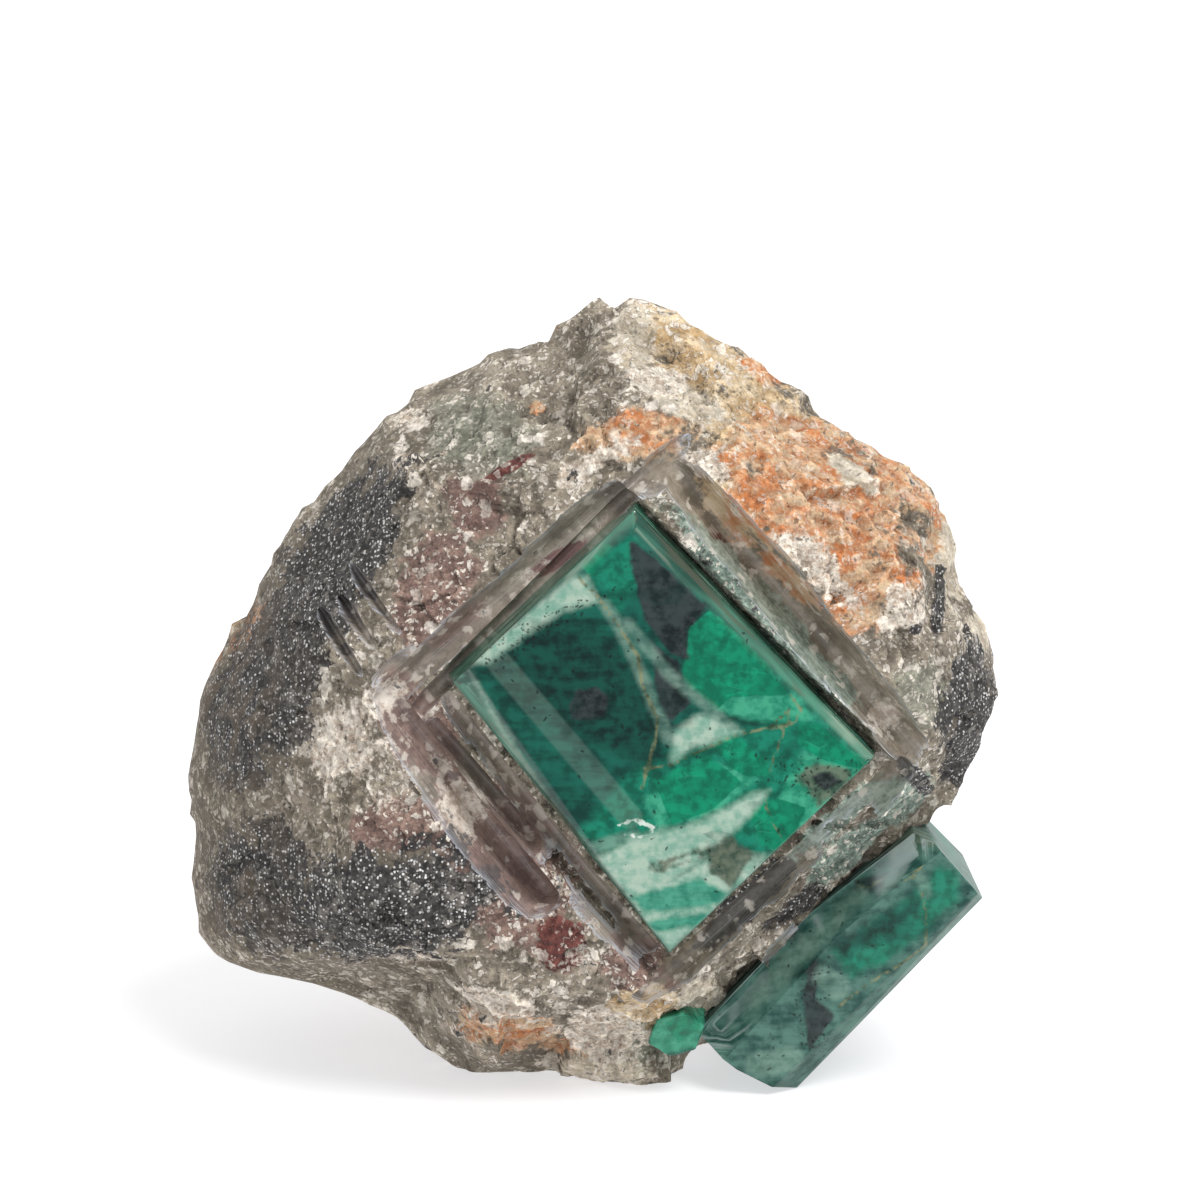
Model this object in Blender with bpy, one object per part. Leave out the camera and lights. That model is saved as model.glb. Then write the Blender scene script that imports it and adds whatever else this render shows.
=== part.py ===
"""Emerald crystal in its host rock, with two blocks of the crystal ground square and polished.

The rock stands upright on a flat foot. Its front carries a rectangular block of emerald that
stands proud inside a ring of wheel-ground channels. A second block stands at the lower right,
behind a deep V channel, and a small raw crystal shows between the two at the foot.

The viewer looks along +Y, with X to the right and Z up. Sizes are in millimetres, and MM turns
them into Blender's metres.
"""

import math

import bmesh
import bpy
import numpy as np
from mathutils import Vector, noise

MM = 0.001
# The middle of the foot on the floor, where the part has its origin.
ORIGIN = Vector((-1.35, 2.15, -0.6))
# Pieces that touch keep this gap.
CLEARANCE = 0.3
# Cutters start this far in front of the rock.
IN_FRONT = -45.0
# The box that cuts the foot flat is this large.
FLOOR_BOX = (160.0, 120.0, 40.0)

# The rock is the space inside its fracture faces, measured from one point in its middle.
MIDDLE = Vector((-2.0, 0.0, 46.0))
FACE_BLEND = 1.1
# A face that a ray from the middle meets at less than this slant is too far along to matter.
LEAST_SLANT = 0.05
FAR = 1000.0

# Corners of the rim clockwise from the peak: x, depth y and z, and the lean of the faces that
# run from there to the front and to the back, in degrees.
RIM = (
    (0.4, -3.0, 96.6, 26, 28),
    (2.2, -4.0, 95.9, 26, 28),
    (4.4, -3.0, 96.8, 26, 28),
    (8.3, -4.0, 95.4, 26, 30),
    (16.5, -6.0, 91.8, 26, 28),
    (24.4, -8.0, 86.6, 26, 26),
    (33.0, -8.0, 80.3, 26, 26),
    (41.0, -8.0, 74.1, 24, 28),
    (44.2, -7.0, 66.9, 22, 30),
    (44.9, -6.0, 62.3, 22, 34),
    (47.5, -5.0, 56.4, 22, 34),
    (49.0, -4.0, 47.9, 20, 34),
    (47.7, -4.0, 41.5, 18, 32),
    (43.6, -2.0, 32.9, 12, 32),
    (35.0, -3.0, 23.6, 8, 34),
    (17.6, -4.0, 4.6, 8, 24),
    (9.6, -4.0, -4.6, 24, 12),
    (-16.3, -4.0, -2.6, 34, 12),
    (-22.6, -1.0, 1.2, 34, 28),
    (-25.8, 0.0, 4.3, 34, 36),
    (-33.9, 1.0, 8.3, 32, 36),
    (-44.0, 2.0, 10.4, 28, 34),
    (-47.8, 3.0, 11.6, 26, 34),
    (-50.7, 4.0, 15.5, 24, 32),
    (-51.6, 5.0, 21.1, 22, 30),
    (-50.6, 6.0, 27.3, 20, 28),
    (-51.8, 6.0, 35.0, 20, 28),
    (-49.7, 6.0, 45.4, 20, 26),
    (-43.6, 5.0, 58.5, 20, 26),
    (-37.3, 4.0, 68.3, 20, 28),
    (-26.6, 3.0, 81.6, 20, 30),
    (-16.7, 2.0, 87.3, 22, 30),
    (-12.3, 1.0, 90.4, 24, 28),
    (-4.3, -1.0, 92.9, 26, 28),
    (-1.8, -2.0, 95.1, 26, 28),
)
# What the blend takes off a sharp rim.
RIM_ALLOWANCE = 0.8

# Faces of the front and the back: name, a point, facing and lean (90 faces the viewer).
BROAD_FACES = (
    ("front", 0.0, -28.4, 50.0, 0, 90),
    ("front_left", -25.0, -27.0, 55.0, 172, 50),
    ("front_upper_left", -10.8, -27.4, 67.8, 131, 56),
    ("front_crown", 2.0, -27.4, 80.0, 95, 46),
    ("front_shoulder", 22.0, -29.4, 72.0, 48, 72),
    ("front_low", 0.0, -26.5, 14.5, -92, 43),
    ("front_low_left", -28.0, -26.0, 26.0, -135, 52),
    ("front_right", 41.0, -24.8, 46.0, 4, 42),
    ("front_low_right", 25.4, -23.6, 29.6, -44, 31),
    ("back", -6.0, 31.0, 48.0, 90, -82),
    ("back_crown", 2.0, 24.0, 80.0, 84, -48),
    ("back_left", -34.0, 23.0, 50.0, 168, -52),
    ("back_right", 30.0, 25.0, 46.0, -8, -56),
    ("back_low", -4.0, 25.0, 14.0, -96, -46),
)

# Swells and hollows of the front: name, x, z, reach across and up, and height to the front.
SWELLS = (
    ("shoulder_ledge", 24.0, 72.0, 10.0, 8.0, 1.6),
    ("crown_gully", -1.5, 88.0, 2.2, 6.0, -2.2),
    ("crown_left_swell", -15.0, 80.0, 8.0, 5.0, 1.2),
    ("dark_cheek", -31.0, 26.0, 9.0, 8.0, 2.0),
    ("cheek_hollow", -24.0, 40.0, 6.0, 6.0, -1.2),
    ("foot_hollow", -21.0, 9.0, 6.0, 4.0, -2.4),
)

# Broken flakes that cover the rock: size of a flake, and how far it tips and steps.
FLAKES = (
    (13.0, 0.16, 0.07),
    (5.0, 0.15, 0.07),
)
FLAKE_SEED = Vector((3.7, 11.2, 5.9))
# Spread of the random numbers for a flake's lean and for its step.
LEAN_SPREAD = 5.3
STEP_SPREAD = 9.1
# The dark left side breaks smoother: share of the flakes there, and where the change lies.
CALM_SHARE = 0.5
CALM_X = -22.0
CALM_WIDTH = 26.0
# Flakes are lower at the rim, which keeps its corners: what they lose there, and how deep it goes.
RIM_CALM = 0.5
RIM_CALM_DEPTH = 7.0
# How finely the rock is cut into faces, and how many are kept.
ROCK_STEPS = 6
ROCK_FACES = 5200

# The square block of emerald: rings of corners as x and z, at their depths. The corners run
# clockwise from the top, and the first ring is the polished face inside its bevel.
BLOCK_RINGS = (
    (-29.5, ((3.6, 74.9), (32.3, 44.8), (8.4, 21.4), (0.1, 32.8), (-15.9, 56.8))),
    (-28.3, ((4.1, 76.0), (33.0, 45.4), (8.4, 20.9), (-0.6, 32.5), (-17.7, 54.8))),
    (-22.0, ((4.7, 76.6), (33.9, 45.3), (8.6, 20.4), (-1.0, 32.2), (-18.4, 54.3))),
    (-11.0, ((4.6, 74.6), (31.9, 45.2), (8.6, 22.6), (0.6, 33.0), (-16.6, 54.0))),
)

# The ground below the block, inside the ring of channels.
RECESS = ((3.4, 80.6), (39.6, 43.0), (7.2, 15.6), (-24.6, 52.2))
RECESS_DEPTH = -24.4
# Its side sinks over this width, and its flakes are this much lower and finer.
RECESS_EDGE = 1.2
RECESS_RELIEF = 0.6
RECESS_FINENESS = 1.7

# Channels, each cut clockwise round the block: name, path of x and z, depth of the floor, radius
# of the wheel's rim, flare of the outer and the inner wall in degrees, and the run-out length.
CHANNELS = (
    ("upper_left_channel", ((-26.4, 51.0), (3.0, 77.8)), -22.8, 1.3, 34, 10, 2.0),
    ("upper_left_inner_channel", ((-22.0, 50.2), (3.6, 77.0)), -21.8, 0.9, 16, 2, 2.0),
    ("upper_right_channel", ((6.6, 80.6), (15.1, 70.1), (41.2, 39.4)), -22.8, 1.7, 26, 14, 3.0),
    ("lower_right_channel", ((37.2, 43.4), (5.2, 13.8)), -22.0, 1.7, 18, 6, 3.0),
    ("lower_left_channel", ((-6.2, 27.2), (-15.8, 38.8), (-25.8, 52.9)), -22.6, 1.2, 32, 10, 2.4),
    ("lower_left_inner_channel", ((-8.0, 34.2), (-20.2, 48.8)), -22.0, 0.9, 4, 2, 3.0),
    ("crown_overrun", ((2.0, 77.0), (13.6, 86.4)), -27.4, 0.6, 30, 30, 4.0),
    ("overrun_high", ((-32.4, 68.6), (-23.6, 59.4)), -24.6, 0.8, 24, 24, 3.0),
    ("overrun_middle", ((-32.8, 64.2), (-27.0, 57.6)), -23.4, 0.7, 24, 24, 3.0),
    ("overrun_low", ((-35.6, 62.6), (-29.4, 55.0)), -22.0, 0.8, 24, 24, 3.0),
    ("corner_overrun", ((-28.6, 53.0), (-22.4, 58.6)), -25.0, 0.6, 28, 28, 3.0),
)
# How a channel's floor climbs at each end: share of the run-out length, and rise.
RUN_OUT = ((-1.0, -14.0), (-0.4, -4.0), (0.0, -1.0), (1.0, 0.0))
# Sides of a channel's round floor and of a round notch.
FLOOR_SIDES = 6
NOTCH_SIDES = 14

# The V channel that parts the second block from the rock, cut from the right down to the left.
V_CHANNEL = (
    "v_channel",
    ((43.8, 36.6), (37.5, 31.9), (26.6, 22.4), (14.0, 8.0), (8.8, 1.8)),
    -13.6, 0.7, 44, 22, 3.0,
)

# The second block: rings of corners as x and z. The sixth corner stands on the floor.
END_RINGS = (
    (
        -17.0,
        ((11.8, 6.8), (26.0, 22.0), (38.6, 32.2), (41.2, 31.4), (46.4, 25.4), (21.2, 0.5), (16.9, 2.8)),
    ),
    (
        -13.6,
        ((11.8, 6.8), (26.0, 22.0), (38.6, 32.2), (41.0, 31.2), (47.2, 23.9), (24.4, -0.6), (16.8, 2.2)),
    ),
    (
        7.0,
        ((12.0, 7.4), (26.2, 21.6), (37.8, 31.0), (39.8, 30.0), (45.8, 23.8), (23.2, -0.6), (16.6, 3.0)),
    ),
)
# Its root, which runs on into the rock behind the V channel.
END_ROOT = ((15.2, 17.2), (33.6, 34.6), (39.4, 28.8), (21.0, 11.4))
END_ROOT_FRONT = -10.6
END_ROOT_BACK = 3.0

# Round notches in the rock at the two ends of the V channel: x and z at y 0, radius and slope
# down to the back in degrees.
NOTCHES = (
    ("right_notch", 42.9, 30.4, 1.9, 13),
    ("lower_notch", 13.4, -1.6, 3.0, 13),
)

# The small raw crystal: front end, back end, radius and turn about its length.
CHIP_FRONT = Vector((9.4, -18.8, 7.8))
CHIP_BACK = Vector((10.2, -8.0, 9.6))
CHIP_RADIUS = 3.5
CHIP_TURN = 14.0
# Its ends as shares of the radius, the slant of its front end and how oval it is.
CHIP_FRONT_SHARE = 0.94
CHIP_BACK_SHARE = 0.8
CHIP_SLANT = 0.9
CHIP_OVAL = 0.1
# Its socket is open this far in front of it.
CHIP_CLEAR = 6.0

# How far a socket's corners move out for each millimetre of gap at its sides.
CORNER_SPREAD = 1.6
HEXAGON_SPREAD = 1.15

# Colour and roughness of each surface.
ROCK_LOOK = ((0.30, 0.27, 0.23, 1.0), 0.75)
EMERALD_LOOK = ((0.02, 0.33, 0.19, 1.0), 0.12)
CHIP_LOOK = ((0.05, 0.38, 0.24, 1.0), 0.35)


def clear_scene():
    """Remove whatever the scene holds."""
    for obj in list(bpy.data.objects):
        bpy.data.objects.remove(obj)


def material(name, look):
    """A Principled material of one colour and roughness."""
    colour, roughness = look
    made = bpy.data.materials.new(name)
    made.use_nodes = True
    shader = made.node_tree.nodes["Principled BSDF"]
    shader.inputs["Base Color"].default_value = colour
    shader.inputs["Roughness"].default_value = roughness
    shader.inputs["Metallic"].default_value = 0.0
    return made


def add_object(name, bm, made=None):
    """Turn a bmesh in millimetres into an object in metres that stands on the origin."""
    bmesh.ops.recalc_face_normals(bm, faces=bm.faces)
    bmesh.ops.translate(bm, vec=-ORIGIN, verts=bm.verts)
    bmesh.ops.scale(bm, vec=(MM, MM, MM), verts=bm.verts)
    mesh = bpy.data.meshes.new(name)
    bm.to_mesh(mesh)
    bm.free()
    obj = bpy.data.objects.new(name, mesh)
    bpy.context.scene.collection.objects.link(obj)
    if made:
        mesh.materials.append(made)
    return obj


def as_cutter(obj):
    """Keep an object as a cutter only."""
    obj.hide_render = True
    obj.display_type = "WIRE"
    return obj


def combine(target, other, operation):
    """Cut other from target, or join it on."""
    boolean = target.modifiers.new(other.name, "BOOLEAN")
    boolean.operation = operation
    boolean.solver = "EXACT"
    boolean.object = other


def facing(direction, lean):
    """Unit normal that faces direction in the front view and leans to the viewer."""
    turn = math.radians(direction)
    tip = math.radians(lean)
    return np.array(
        (math.cos(turn) * math.cos(tip), -math.sin(tip), math.sin(turn) * math.cos(tip))
    )


def broad_reaches(rays):
    """Distance along each ray to each broad face, as one row per ray."""
    normals = np.array([facing(way, lean) for _, _, _, _, way, lean in BROAD_FACES])
    points = np.array([(x, y, z) for _, x, y, z, _, _ in BROAD_FACES]) - np.array(MIDDLE)
    reaches = (normals * points).sum(axis=1)
    along = rays @ normals.T
    return np.where(along > LEAST_SLANT, reaches / np.maximum(along, LEAST_SLANT), FAR)


def rim_reaches(rays):
    """Distance along each ray to the faces that run from the rim to the front and back."""
    rim = np.array(RIM[::-1])
    rim[:, :3] -= np.array(MIDDLE)
    turns = np.arctan2(rim[:, 2], rim[:, 0])
    rim = np.roll(rim, -int(turns.argmin()), axis=0)
    turns = np.sort(turns)
    flat = np.hypot(rays[:, 0], rays[:, 2])
    ray_turns = np.arctan2(rays[:, 2], rays[:, 0])
    before = (np.searchsorted(turns, ray_turns) - 1) % len(rim)
    start = rim[before]
    side = rim[(before + 1) % len(rim)] - start
    ux = np.cos(ray_turns)
    uz = np.sin(ray_turns)
    cross = ux * side[:, 2] - uz * side[:, 0]
    out = (start[:, 0] * side[:, 2] - start[:, 2] * side[:, 0]) / cross + RIM_ALLOWANCE
    share = (uz * start[:, 0] - ux * start[:, 2]) / cross
    row = start + side * share[:, None]
    found = []
    for column, sign in ((3, 1.0), (4, -1.0)):
        lean = np.radians(row[:, column])
        reach = out * np.cos(lean) - sign * row[:, 1] * np.sin(lean)
        along = flat * np.cos(lean) - sign * rays[:, 1] * np.sin(lean)
        found.append(np.where(along > LEAST_SLANT, reach / np.maximum(along, LEAST_SLANT), FAR))
    return np.stack(found, axis=1)


def faceted_reach(rays):
    """Distance from MIDDLE to the rock's surface along unit rays, blended at the edges."""
    hit = np.concatenate([broad_reaches(rays), rim_reaches(rays)], axis=1)
    nearest = hit.min(axis=1, keepdims=True)
    return nearest[:, 0] - FACE_BLEND * np.log(np.exp((nearest - hit) / FACE_BLEND).sum(axis=1))


def flake_height(point):
    """Height of the broken flakes at a point, each flake a tipped plane with a step."""
    height = 0.0
    for size, tip, step in FLAKES:
        place = point / size + FLAKE_SEED
        seed = noise.voronoi(place)[1][0]
        lean = noise.cell_vector(seed * LEAN_SPREAD) * 2.0 - Vector((1.0, 1.0, 1.0))
        rise = noise.cell(seed * STEP_SPREAD) - 0.5
        height += size * (tip * lean.dot(place - seed) + step * rise)
    share = min(1.0, max(0.0, (point.x - CALM_X) / CALM_WIDTH + 0.5))
    rim = 1.0 - RIM_CALM * math.exp(-((point.y / RIM_CALM_DEPTH) ** 2))
    return height * rim * (CALM_SHARE + (1.0 - CALM_SHARE) * share)


def swell_height(point):
    """How far the named swells push a point of the front towards the viewer."""
    if point.y > 0.0:
        return 0.0
    height = 0.0
    for _, x, z, across, up, rise in SWELLS:
        height += rise * math.exp(-(((point.x - x) / across) ** 2) - ((point.z - z) / up) ** 2)
    return height


def depth_inside(x, z, corners):
    """Distance from a point to the nearest side of a clockwise polygon, positive inside."""
    nearest = FAR
    for (ax, az), (bx, bz) in zip(corners, corners[1:] + corners[:1]):
        length = math.hypot(bx - ax, bz - az)
        nearest = min(nearest, ((bz - az) * (x - ax) - (bx - ax) * (z - az)) / length)
    return nearest


def sink_recess(point):
    """Lower the front inside the ring of channels to the recess floor."""
    inside = depth_inside(point.x, point.z, RECESS)
    if inside > 0.0 and point.y < RECESS_DEPTH:
        floor = RECESS_DEPTH + RECESS_RELIEF * flake_height(point * RECESS_FINENESS)
        point.y += (max(point.y, floor) - point.y) * min(1.0, inside / RECESS_EDGE)


def rock_mesh():
    """The natural rock before any grinding, as a fine mesh."""
    bm = bmesh.new()
    bmesh.ops.create_icosphere(bm, subdivisions=ROCK_STEPS, radius=1.0)
    rays = np.array([vert.co.normalized() for vert in bm.verts])
    for vert, ray, reach in zip(bm.verts, rays, faceted_reach(rays)):
        ray = Vector(ray)
        point = MIDDLE + ray * float(reach)
        point += ray * flake_height(point)
        point.y -= swell_height(point)
        sink_recess(point)
        vert.co = point
    return bm


def ring_solid(rings, grow=0.0):
    """Closed solid through rings of corners at their depths, grown sideways and to the back."""
    bm = bmesh.new()
    loops = []
    for index, (depth, corners) in enumerate(rings):
        middle_x = sum(x for x, _ in corners) / len(corners)
        middle_z = sum(z for _, z in corners) / len(corners)
        back = grow if index == len(rings) - 1 else 0.0
        loop = []
        for x, z in corners:
            reach = math.hypot(x - middle_x, z - middle_z)
            share = 1.0 + CORNER_SPREAD * grow / reach
            place = (middle_x + (x - middle_x) * share, depth + back, middle_z + (z - middle_z) * share)
            loop.append(bm.verts.new(place))
        loops.append(loop)
    count = len(loops[0])
    for front, rear in zip(loops, loops[1:]):
        for i in range(count):
            j = (i + 1) % count
            bm.faces.new((front[i], front[j], rear[j], rear[i]))
    bm.faces.new(loops[0])
    bm.faces.new(loops[-1])
    return bm


def channel_section(floor, radius, outer, inner):
    """Points across a channel, as offset and depth: a round floor and walls that flare out."""
    centre = floor - radius
    start = math.radians(outer) - math.pi / 2
    end = math.pi / 2 - math.radians(inner)
    points = []
    for step in range(FLOOR_SIDES + 1):
        turn = start + (end - start) * step / FLOOR_SIDES
        points.append((radius * math.sin(turn), centre + radius * math.cos(turn)))
    for flare, (offset, depth), side in ((outer, points[0], -1.0), (inner, points[-1], 1.0)):
        reach = (depth - IN_FRONT) * math.tan(math.radians(flare))
        points.insert(0 if side < 0.0 else len(points), (offset + side * reach, IN_FRONT))
    return points


def channel_stations(path, run_out):
    """Places along a channel as point, direction of travel and rise of the floor."""
    points = [Vector((x, 0.0, z)) for x, z in path]
    ways = [(b - a).normalized() for a, b in zip(points, points[1:])]
    stations = [(points[0] + ways[0] * share * run_out, ways[0], rise) for share, rise in RUN_OUT]
    for point, before, after in zip(points[1:-1], ways, ways[1:]):
        stations.append((point, (before + after).normalized(), 0.0))
    for share, rise in reversed(RUN_OUT):
        stations.append((points[-1] - ways[-1] * share * run_out, ways[-1], rise))
    return stations


def channel_cutter(name, path, floor, radius, outer, inner, run_out):
    """Cutter for one channel. Its floor climbs to the front where the wheel ran out."""
    bm = bmesh.new()
    loops = []
    for centre, way, rise in channel_stations(path, run_out):
        across = Vector((way.z, 0.0, -way.x))
        section = channel_section(floor + rise, radius, outer, inner)
        loops.append([bm.verts.new(centre + across * w + Vector((0.0, y, 0.0))) for w, y in section])
    count = len(loops[0])
    for near, far in zip(loops, loops[1:]):
        for i in range(count):
            j = (i + 1) % count
            bm.faces.new((near[i], near[j], far[j], far[i]))
    bm.faces.new(loops[0])
    bm.faces.new(loops[-1])
    return as_cutter(add_object(name, bm))


def notch_cutter(name, x, z, radius, slope):
    """Round bar from front to back that cuts a notch, sloping down to the back."""
    tip = math.radians(slope)
    axis = Vector((0.0, math.cos(tip), -math.sin(tip)))
    side = Vector((1.0, 0.0, 0.0))
    up = side.cross(axis)
    bm = bmesh.new()
    loops = []
    for along in (IN_FRONT, -IN_FRONT):
        centre = Vector((x, 0.0, z)) + axis * along
        turns = [2 * math.pi * i / NOTCH_SIDES for i in range(NOTCH_SIDES)]
        loops.append([
            bm.verts.new(centre + (side * math.cos(t) + up * math.sin(t)) * radius) for t in turns
        ])
    for i in range(NOTCH_SIDES):
        j = (i + 1) % NOTCH_SIDES
        bm.faces.new((loops[0][i], loops[0][j], loops[1][j], loops[1][i]))
    bm.faces.new(loops[0])
    bm.faces.new(loops[1])
    return as_cutter(add_object(name, bm))


def below_floor():
    """Box below the floor, which cuts the foot flat."""
    bm = bmesh.new()
    bmesh.ops.create_cube(bm, size=1.0)
    bmesh.ops.scale(bm, vec=FLOOR_BOX, verts=bm.verts)
    bmesh.ops.translate(bm, vec=(0.0, 0.0, ORIGIN.z - FLOOR_BOX[2] / 2), verts=bm.verts)
    return as_cutter(add_object("below_floor", bm))


def chip_solid(grow=0.0):
    """Six-sided raw crystal with a slanted front end."""
    axis = (CHIP_BACK - CHIP_FRONT).normalized()
    side = axis.cross(Vector((0.0, 0.0, 1.0))).normalized()
    up = side.cross(axis)
    bm = bmesh.new()
    loops = []
    front = CHIP_FRONT - axis * (CHIP_CLEAR if grow else 0.0)
    back = CHIP_BACK + axis * grow
    ends = ((front, CHIP_FRONT_SHARE, CHIP_SLANT), (back, CHIP_BACK_SHARE, 0.0))
    for centre, share, slant in ends:
        loop = []
        for i in range(6):
            turn = math.radians(CHIP_TURN + 60.0 * i)
            oval = 1.0 + CHIP_OVAL * math.cos(2.0 * turn)
            radius = (CHIP_RADIUS + HEXAGON_SPREAD * grow) * share * oval
            place = centre + (side * math.cos(turn) + up * math.sin(turn)) * radius
            loop.append(bm.verts.new(place + axis * slant * math.cos(turn)))
        loops.append(loop)
    for i in range(6):
        j = (i + 1) % 6
        bm.faces.new((loops[0][i], loops[0][j], loops[1][j], loops[1][i]))
    for loop in loops:
        centre = sum((vert.co for vert in loop), Vector()) / len(loop)
        peak = bm.verts.new(centre)
        for i in range(6):
            bm.faces.new((loop[i], loop[(i + 1) % 6], peak))
    return bm


def root_rings():
    """Rings of the second block's root."""
    return tuple((depth, END_ROOT) for depth in (END_ROOT_FRONT, END_ROOT_BACK))


def build():
    """Make the rock, the two polished blocks and the raw crystal."""
    clear_scene()
    rock_finish = material("host_rock", ROCK_LOOK)
    emerald_finish = material("polished_emerald", EMERALD_LOOK)
    chip_finish = material("raw_emerald", CHIP_LOOK)

    rock = add_object("host_rock", rock_mesh(), rock_finish)
    decimate = rock.modifiers.new("facets", "DECIMATE")
    decimate.ratio = ROCK_FACES / len(rock.data.polygons)

    block = add_object("emerald_block", ring_solid(BLOCK_RINGS), emerald_finish)
    end_block = add_object("emerald_end_block", ring_solid(END_RINGS), emerald_finish)
    root = as_cutter(add_object("end_root", ring_solid(root_rings())))
    combine(end_block, root, "UNION")
    chip = add_object("emerald_chip", chip_solid(), chip_finish)

    v_channel = channel_cutter(*V_CHANNEL)
    combine(rock, v_channel, "DIFFERENCE")
    combine(end_block, v_channel, "DIFFERENCE")
    for row in CHANNELS:
        combine(rock, channel_cutter(*row), "DIFFERENCE")
    for row in NOTCHES:
        combine(rock, notch_cutter(*row), "DIFFERENCE")
    sockets = (
        ("block_socket", ring_solid(BLOCK_RINGS, CLEARANCE)),
        ("end_socket", ring_solid(END_RINGS, CLEARANCE)),
        ("root_socket", ring_solid(root_rings(), CLEARANCE)),
        ("chip_socket", chip_solid(CLEARANCE)),
    )
    for name, solid in sockets:
        socket = as_cutter(add_object(name, solid))
        combine(rock, socket, "DIFFERENCE")
        if name == "chip_socket":
            combine(end_block, socket, "DIFFERENCE")
    combine(rock, below_floor(), "DIFFERENCE")


build()
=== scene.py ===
"""Emerald crystal in its host rock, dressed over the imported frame.

A broken block of mixed rock stands upright on its foot. Wheel-ground channels ring a square
polished block of emerald on its front, a deep V channel parts a second block at the lower right,
and a small raw crystal shows between them.

Sizes are in millimetres as measured on the object, with X to the viewer's right, Y away from the
viewer and Z up. The to_metres function moves them to the frame's origin on the floor.
"""

import logging
import math
from collections.abc import Sequence
from dataclasses import dataclass
from enum import Enum
from typing import Any

import bmesh
import bpy
import numpy as np
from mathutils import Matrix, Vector, noise
from mathutils.kdtree import KDTree


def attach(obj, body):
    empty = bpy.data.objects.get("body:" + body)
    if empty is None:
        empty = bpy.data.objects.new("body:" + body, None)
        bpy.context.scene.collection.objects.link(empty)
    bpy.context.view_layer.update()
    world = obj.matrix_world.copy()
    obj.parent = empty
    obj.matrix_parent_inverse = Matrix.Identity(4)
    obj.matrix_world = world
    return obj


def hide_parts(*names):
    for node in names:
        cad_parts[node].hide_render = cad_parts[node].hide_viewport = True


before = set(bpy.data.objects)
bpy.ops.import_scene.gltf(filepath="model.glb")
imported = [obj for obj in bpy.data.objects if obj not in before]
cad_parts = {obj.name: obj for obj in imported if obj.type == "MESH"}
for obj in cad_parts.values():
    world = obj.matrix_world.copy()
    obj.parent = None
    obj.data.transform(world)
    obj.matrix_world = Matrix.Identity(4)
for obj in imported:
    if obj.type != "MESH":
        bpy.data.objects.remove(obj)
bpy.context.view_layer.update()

logging.basicConfig(level=logging.INFO, format="%(message)s")
LOG = logging.getLogger("emerald")

MM = 0.001
ORIGIN = Vector((-1.35, 2.15, -0.6))
IN_FRONT = -45.0
VIEW_TILT = 13.0
QUICK_EDGE, FINE_EDGE = 1.6, 0.8
FAR = 1000.0
NATURAL_SLOT, GROUND_SLOT = 0, 1
Colour = tuple[float, float, float]
Corner = tuple[float, float]


def to_metres(bm: bmesh.types.BMesh) -> None:
    """Move a mesh from measured millimetres to metres about the frame's origin.

    Args:
        bm: The mesh, changed in place.
    """
    bmesh.ops.recalc_face_normals(bm, faces=bm.faces)
    if bm.calc_volume(signed=True) < 0.0:
        bmesh.ops.reverse_faces(bm, faces=bm.faces)
    bmesh.ops.translate(bm, vec=-ORIGIN, verts=bm.verts)
    bmesh.ops.scale(bm, vec=(MM, MM, MM), verts=bm.verts)


def add_object(name: str, bm: bmesh.types.BMesh) -> bpy.types.Object:
    """Turn a bmesh in millimetres into an object.

    Args:
        name: Name of the piece.
        bm: Its mesh, used up here.

    Returns:
        The new object, linked to the scene.
    """
    to_metres(bm)
    mesh = bpy.data.meshes.new(name)
    bm.to_mesh(mesh)
    bm.free()
    obj = bpy.data.objects.new(name, mesh)
    bpy.context.scene.collection.objects.link(obj)
    return obj


def millimetres(mesh: bpy.types.Mesh) -> np.ndarray:
    """Read a mesh's points in measured millimetres.

    Args:
        mesh: A mesh in metres about the frame's origin.

    Returns:
        One row of x, y and z for each vertex.
    """
    flat = np.empty(len(mesh.vertices) * 3, np.float32)
    mesh.vertices.foreach_get("co", flat)
    return flat.reshape(-1, 3).astype(float) / MM + np.array(ORIGIN)


def store(mesh: bpy.types.Mesh, name: str, values: np.ndarray) -> None:
    """Keep one number for each vertex under a name that a finish reads.

    Args:
        mesh: The mesh.
        name: Name of the attribute.
        values: One number for each vertex.
    """
    layer = mesh.attributes.new(name, "FLOAT", "POINT")
    layer.data.foreach_set("value", np.ascontiguousarray(values, np.float32))


def smooth_step(values: np.ndarray, low: float, high: float) -> np.ndarray:
    """Ease values from 0 at low to 1 at high.

    Args:
        values: Numbers to ease.
        low: Where the result is 0.
        high: Where the result is 1.

    Returns:
        The eased numbers.
    """
    share = np.clip((values - low) / (high - low), 0.0, 1.0)
    return share * share * (3.0 - 2.0 * share)


def path_distance(x: np.ndarray, z: np.ndarray, path: Sequence[Corner]) -> np.ndarray:
    """Distance in the front view from points to a path.

    Args:
        x: Points across.
        z: Points up.
        path: Corners of the path in order.

    Returns:
        Distance to the nearest stretch of the path.
    """
    best = np.full(len(x), FAR)
    for (ax, az), (bx, bz) in zip(path, path[1:]):
        dx, dz = bx - ax, bz - az
        along = np.clip(((x - ax) * dx + (z - az) * dz) / (dx * dx + dz * dz), 0.0, 1.0)
        best = np.minimum(best, np.hypot(x - ax - along * dx, z - az - along * dz))
    return best


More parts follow.
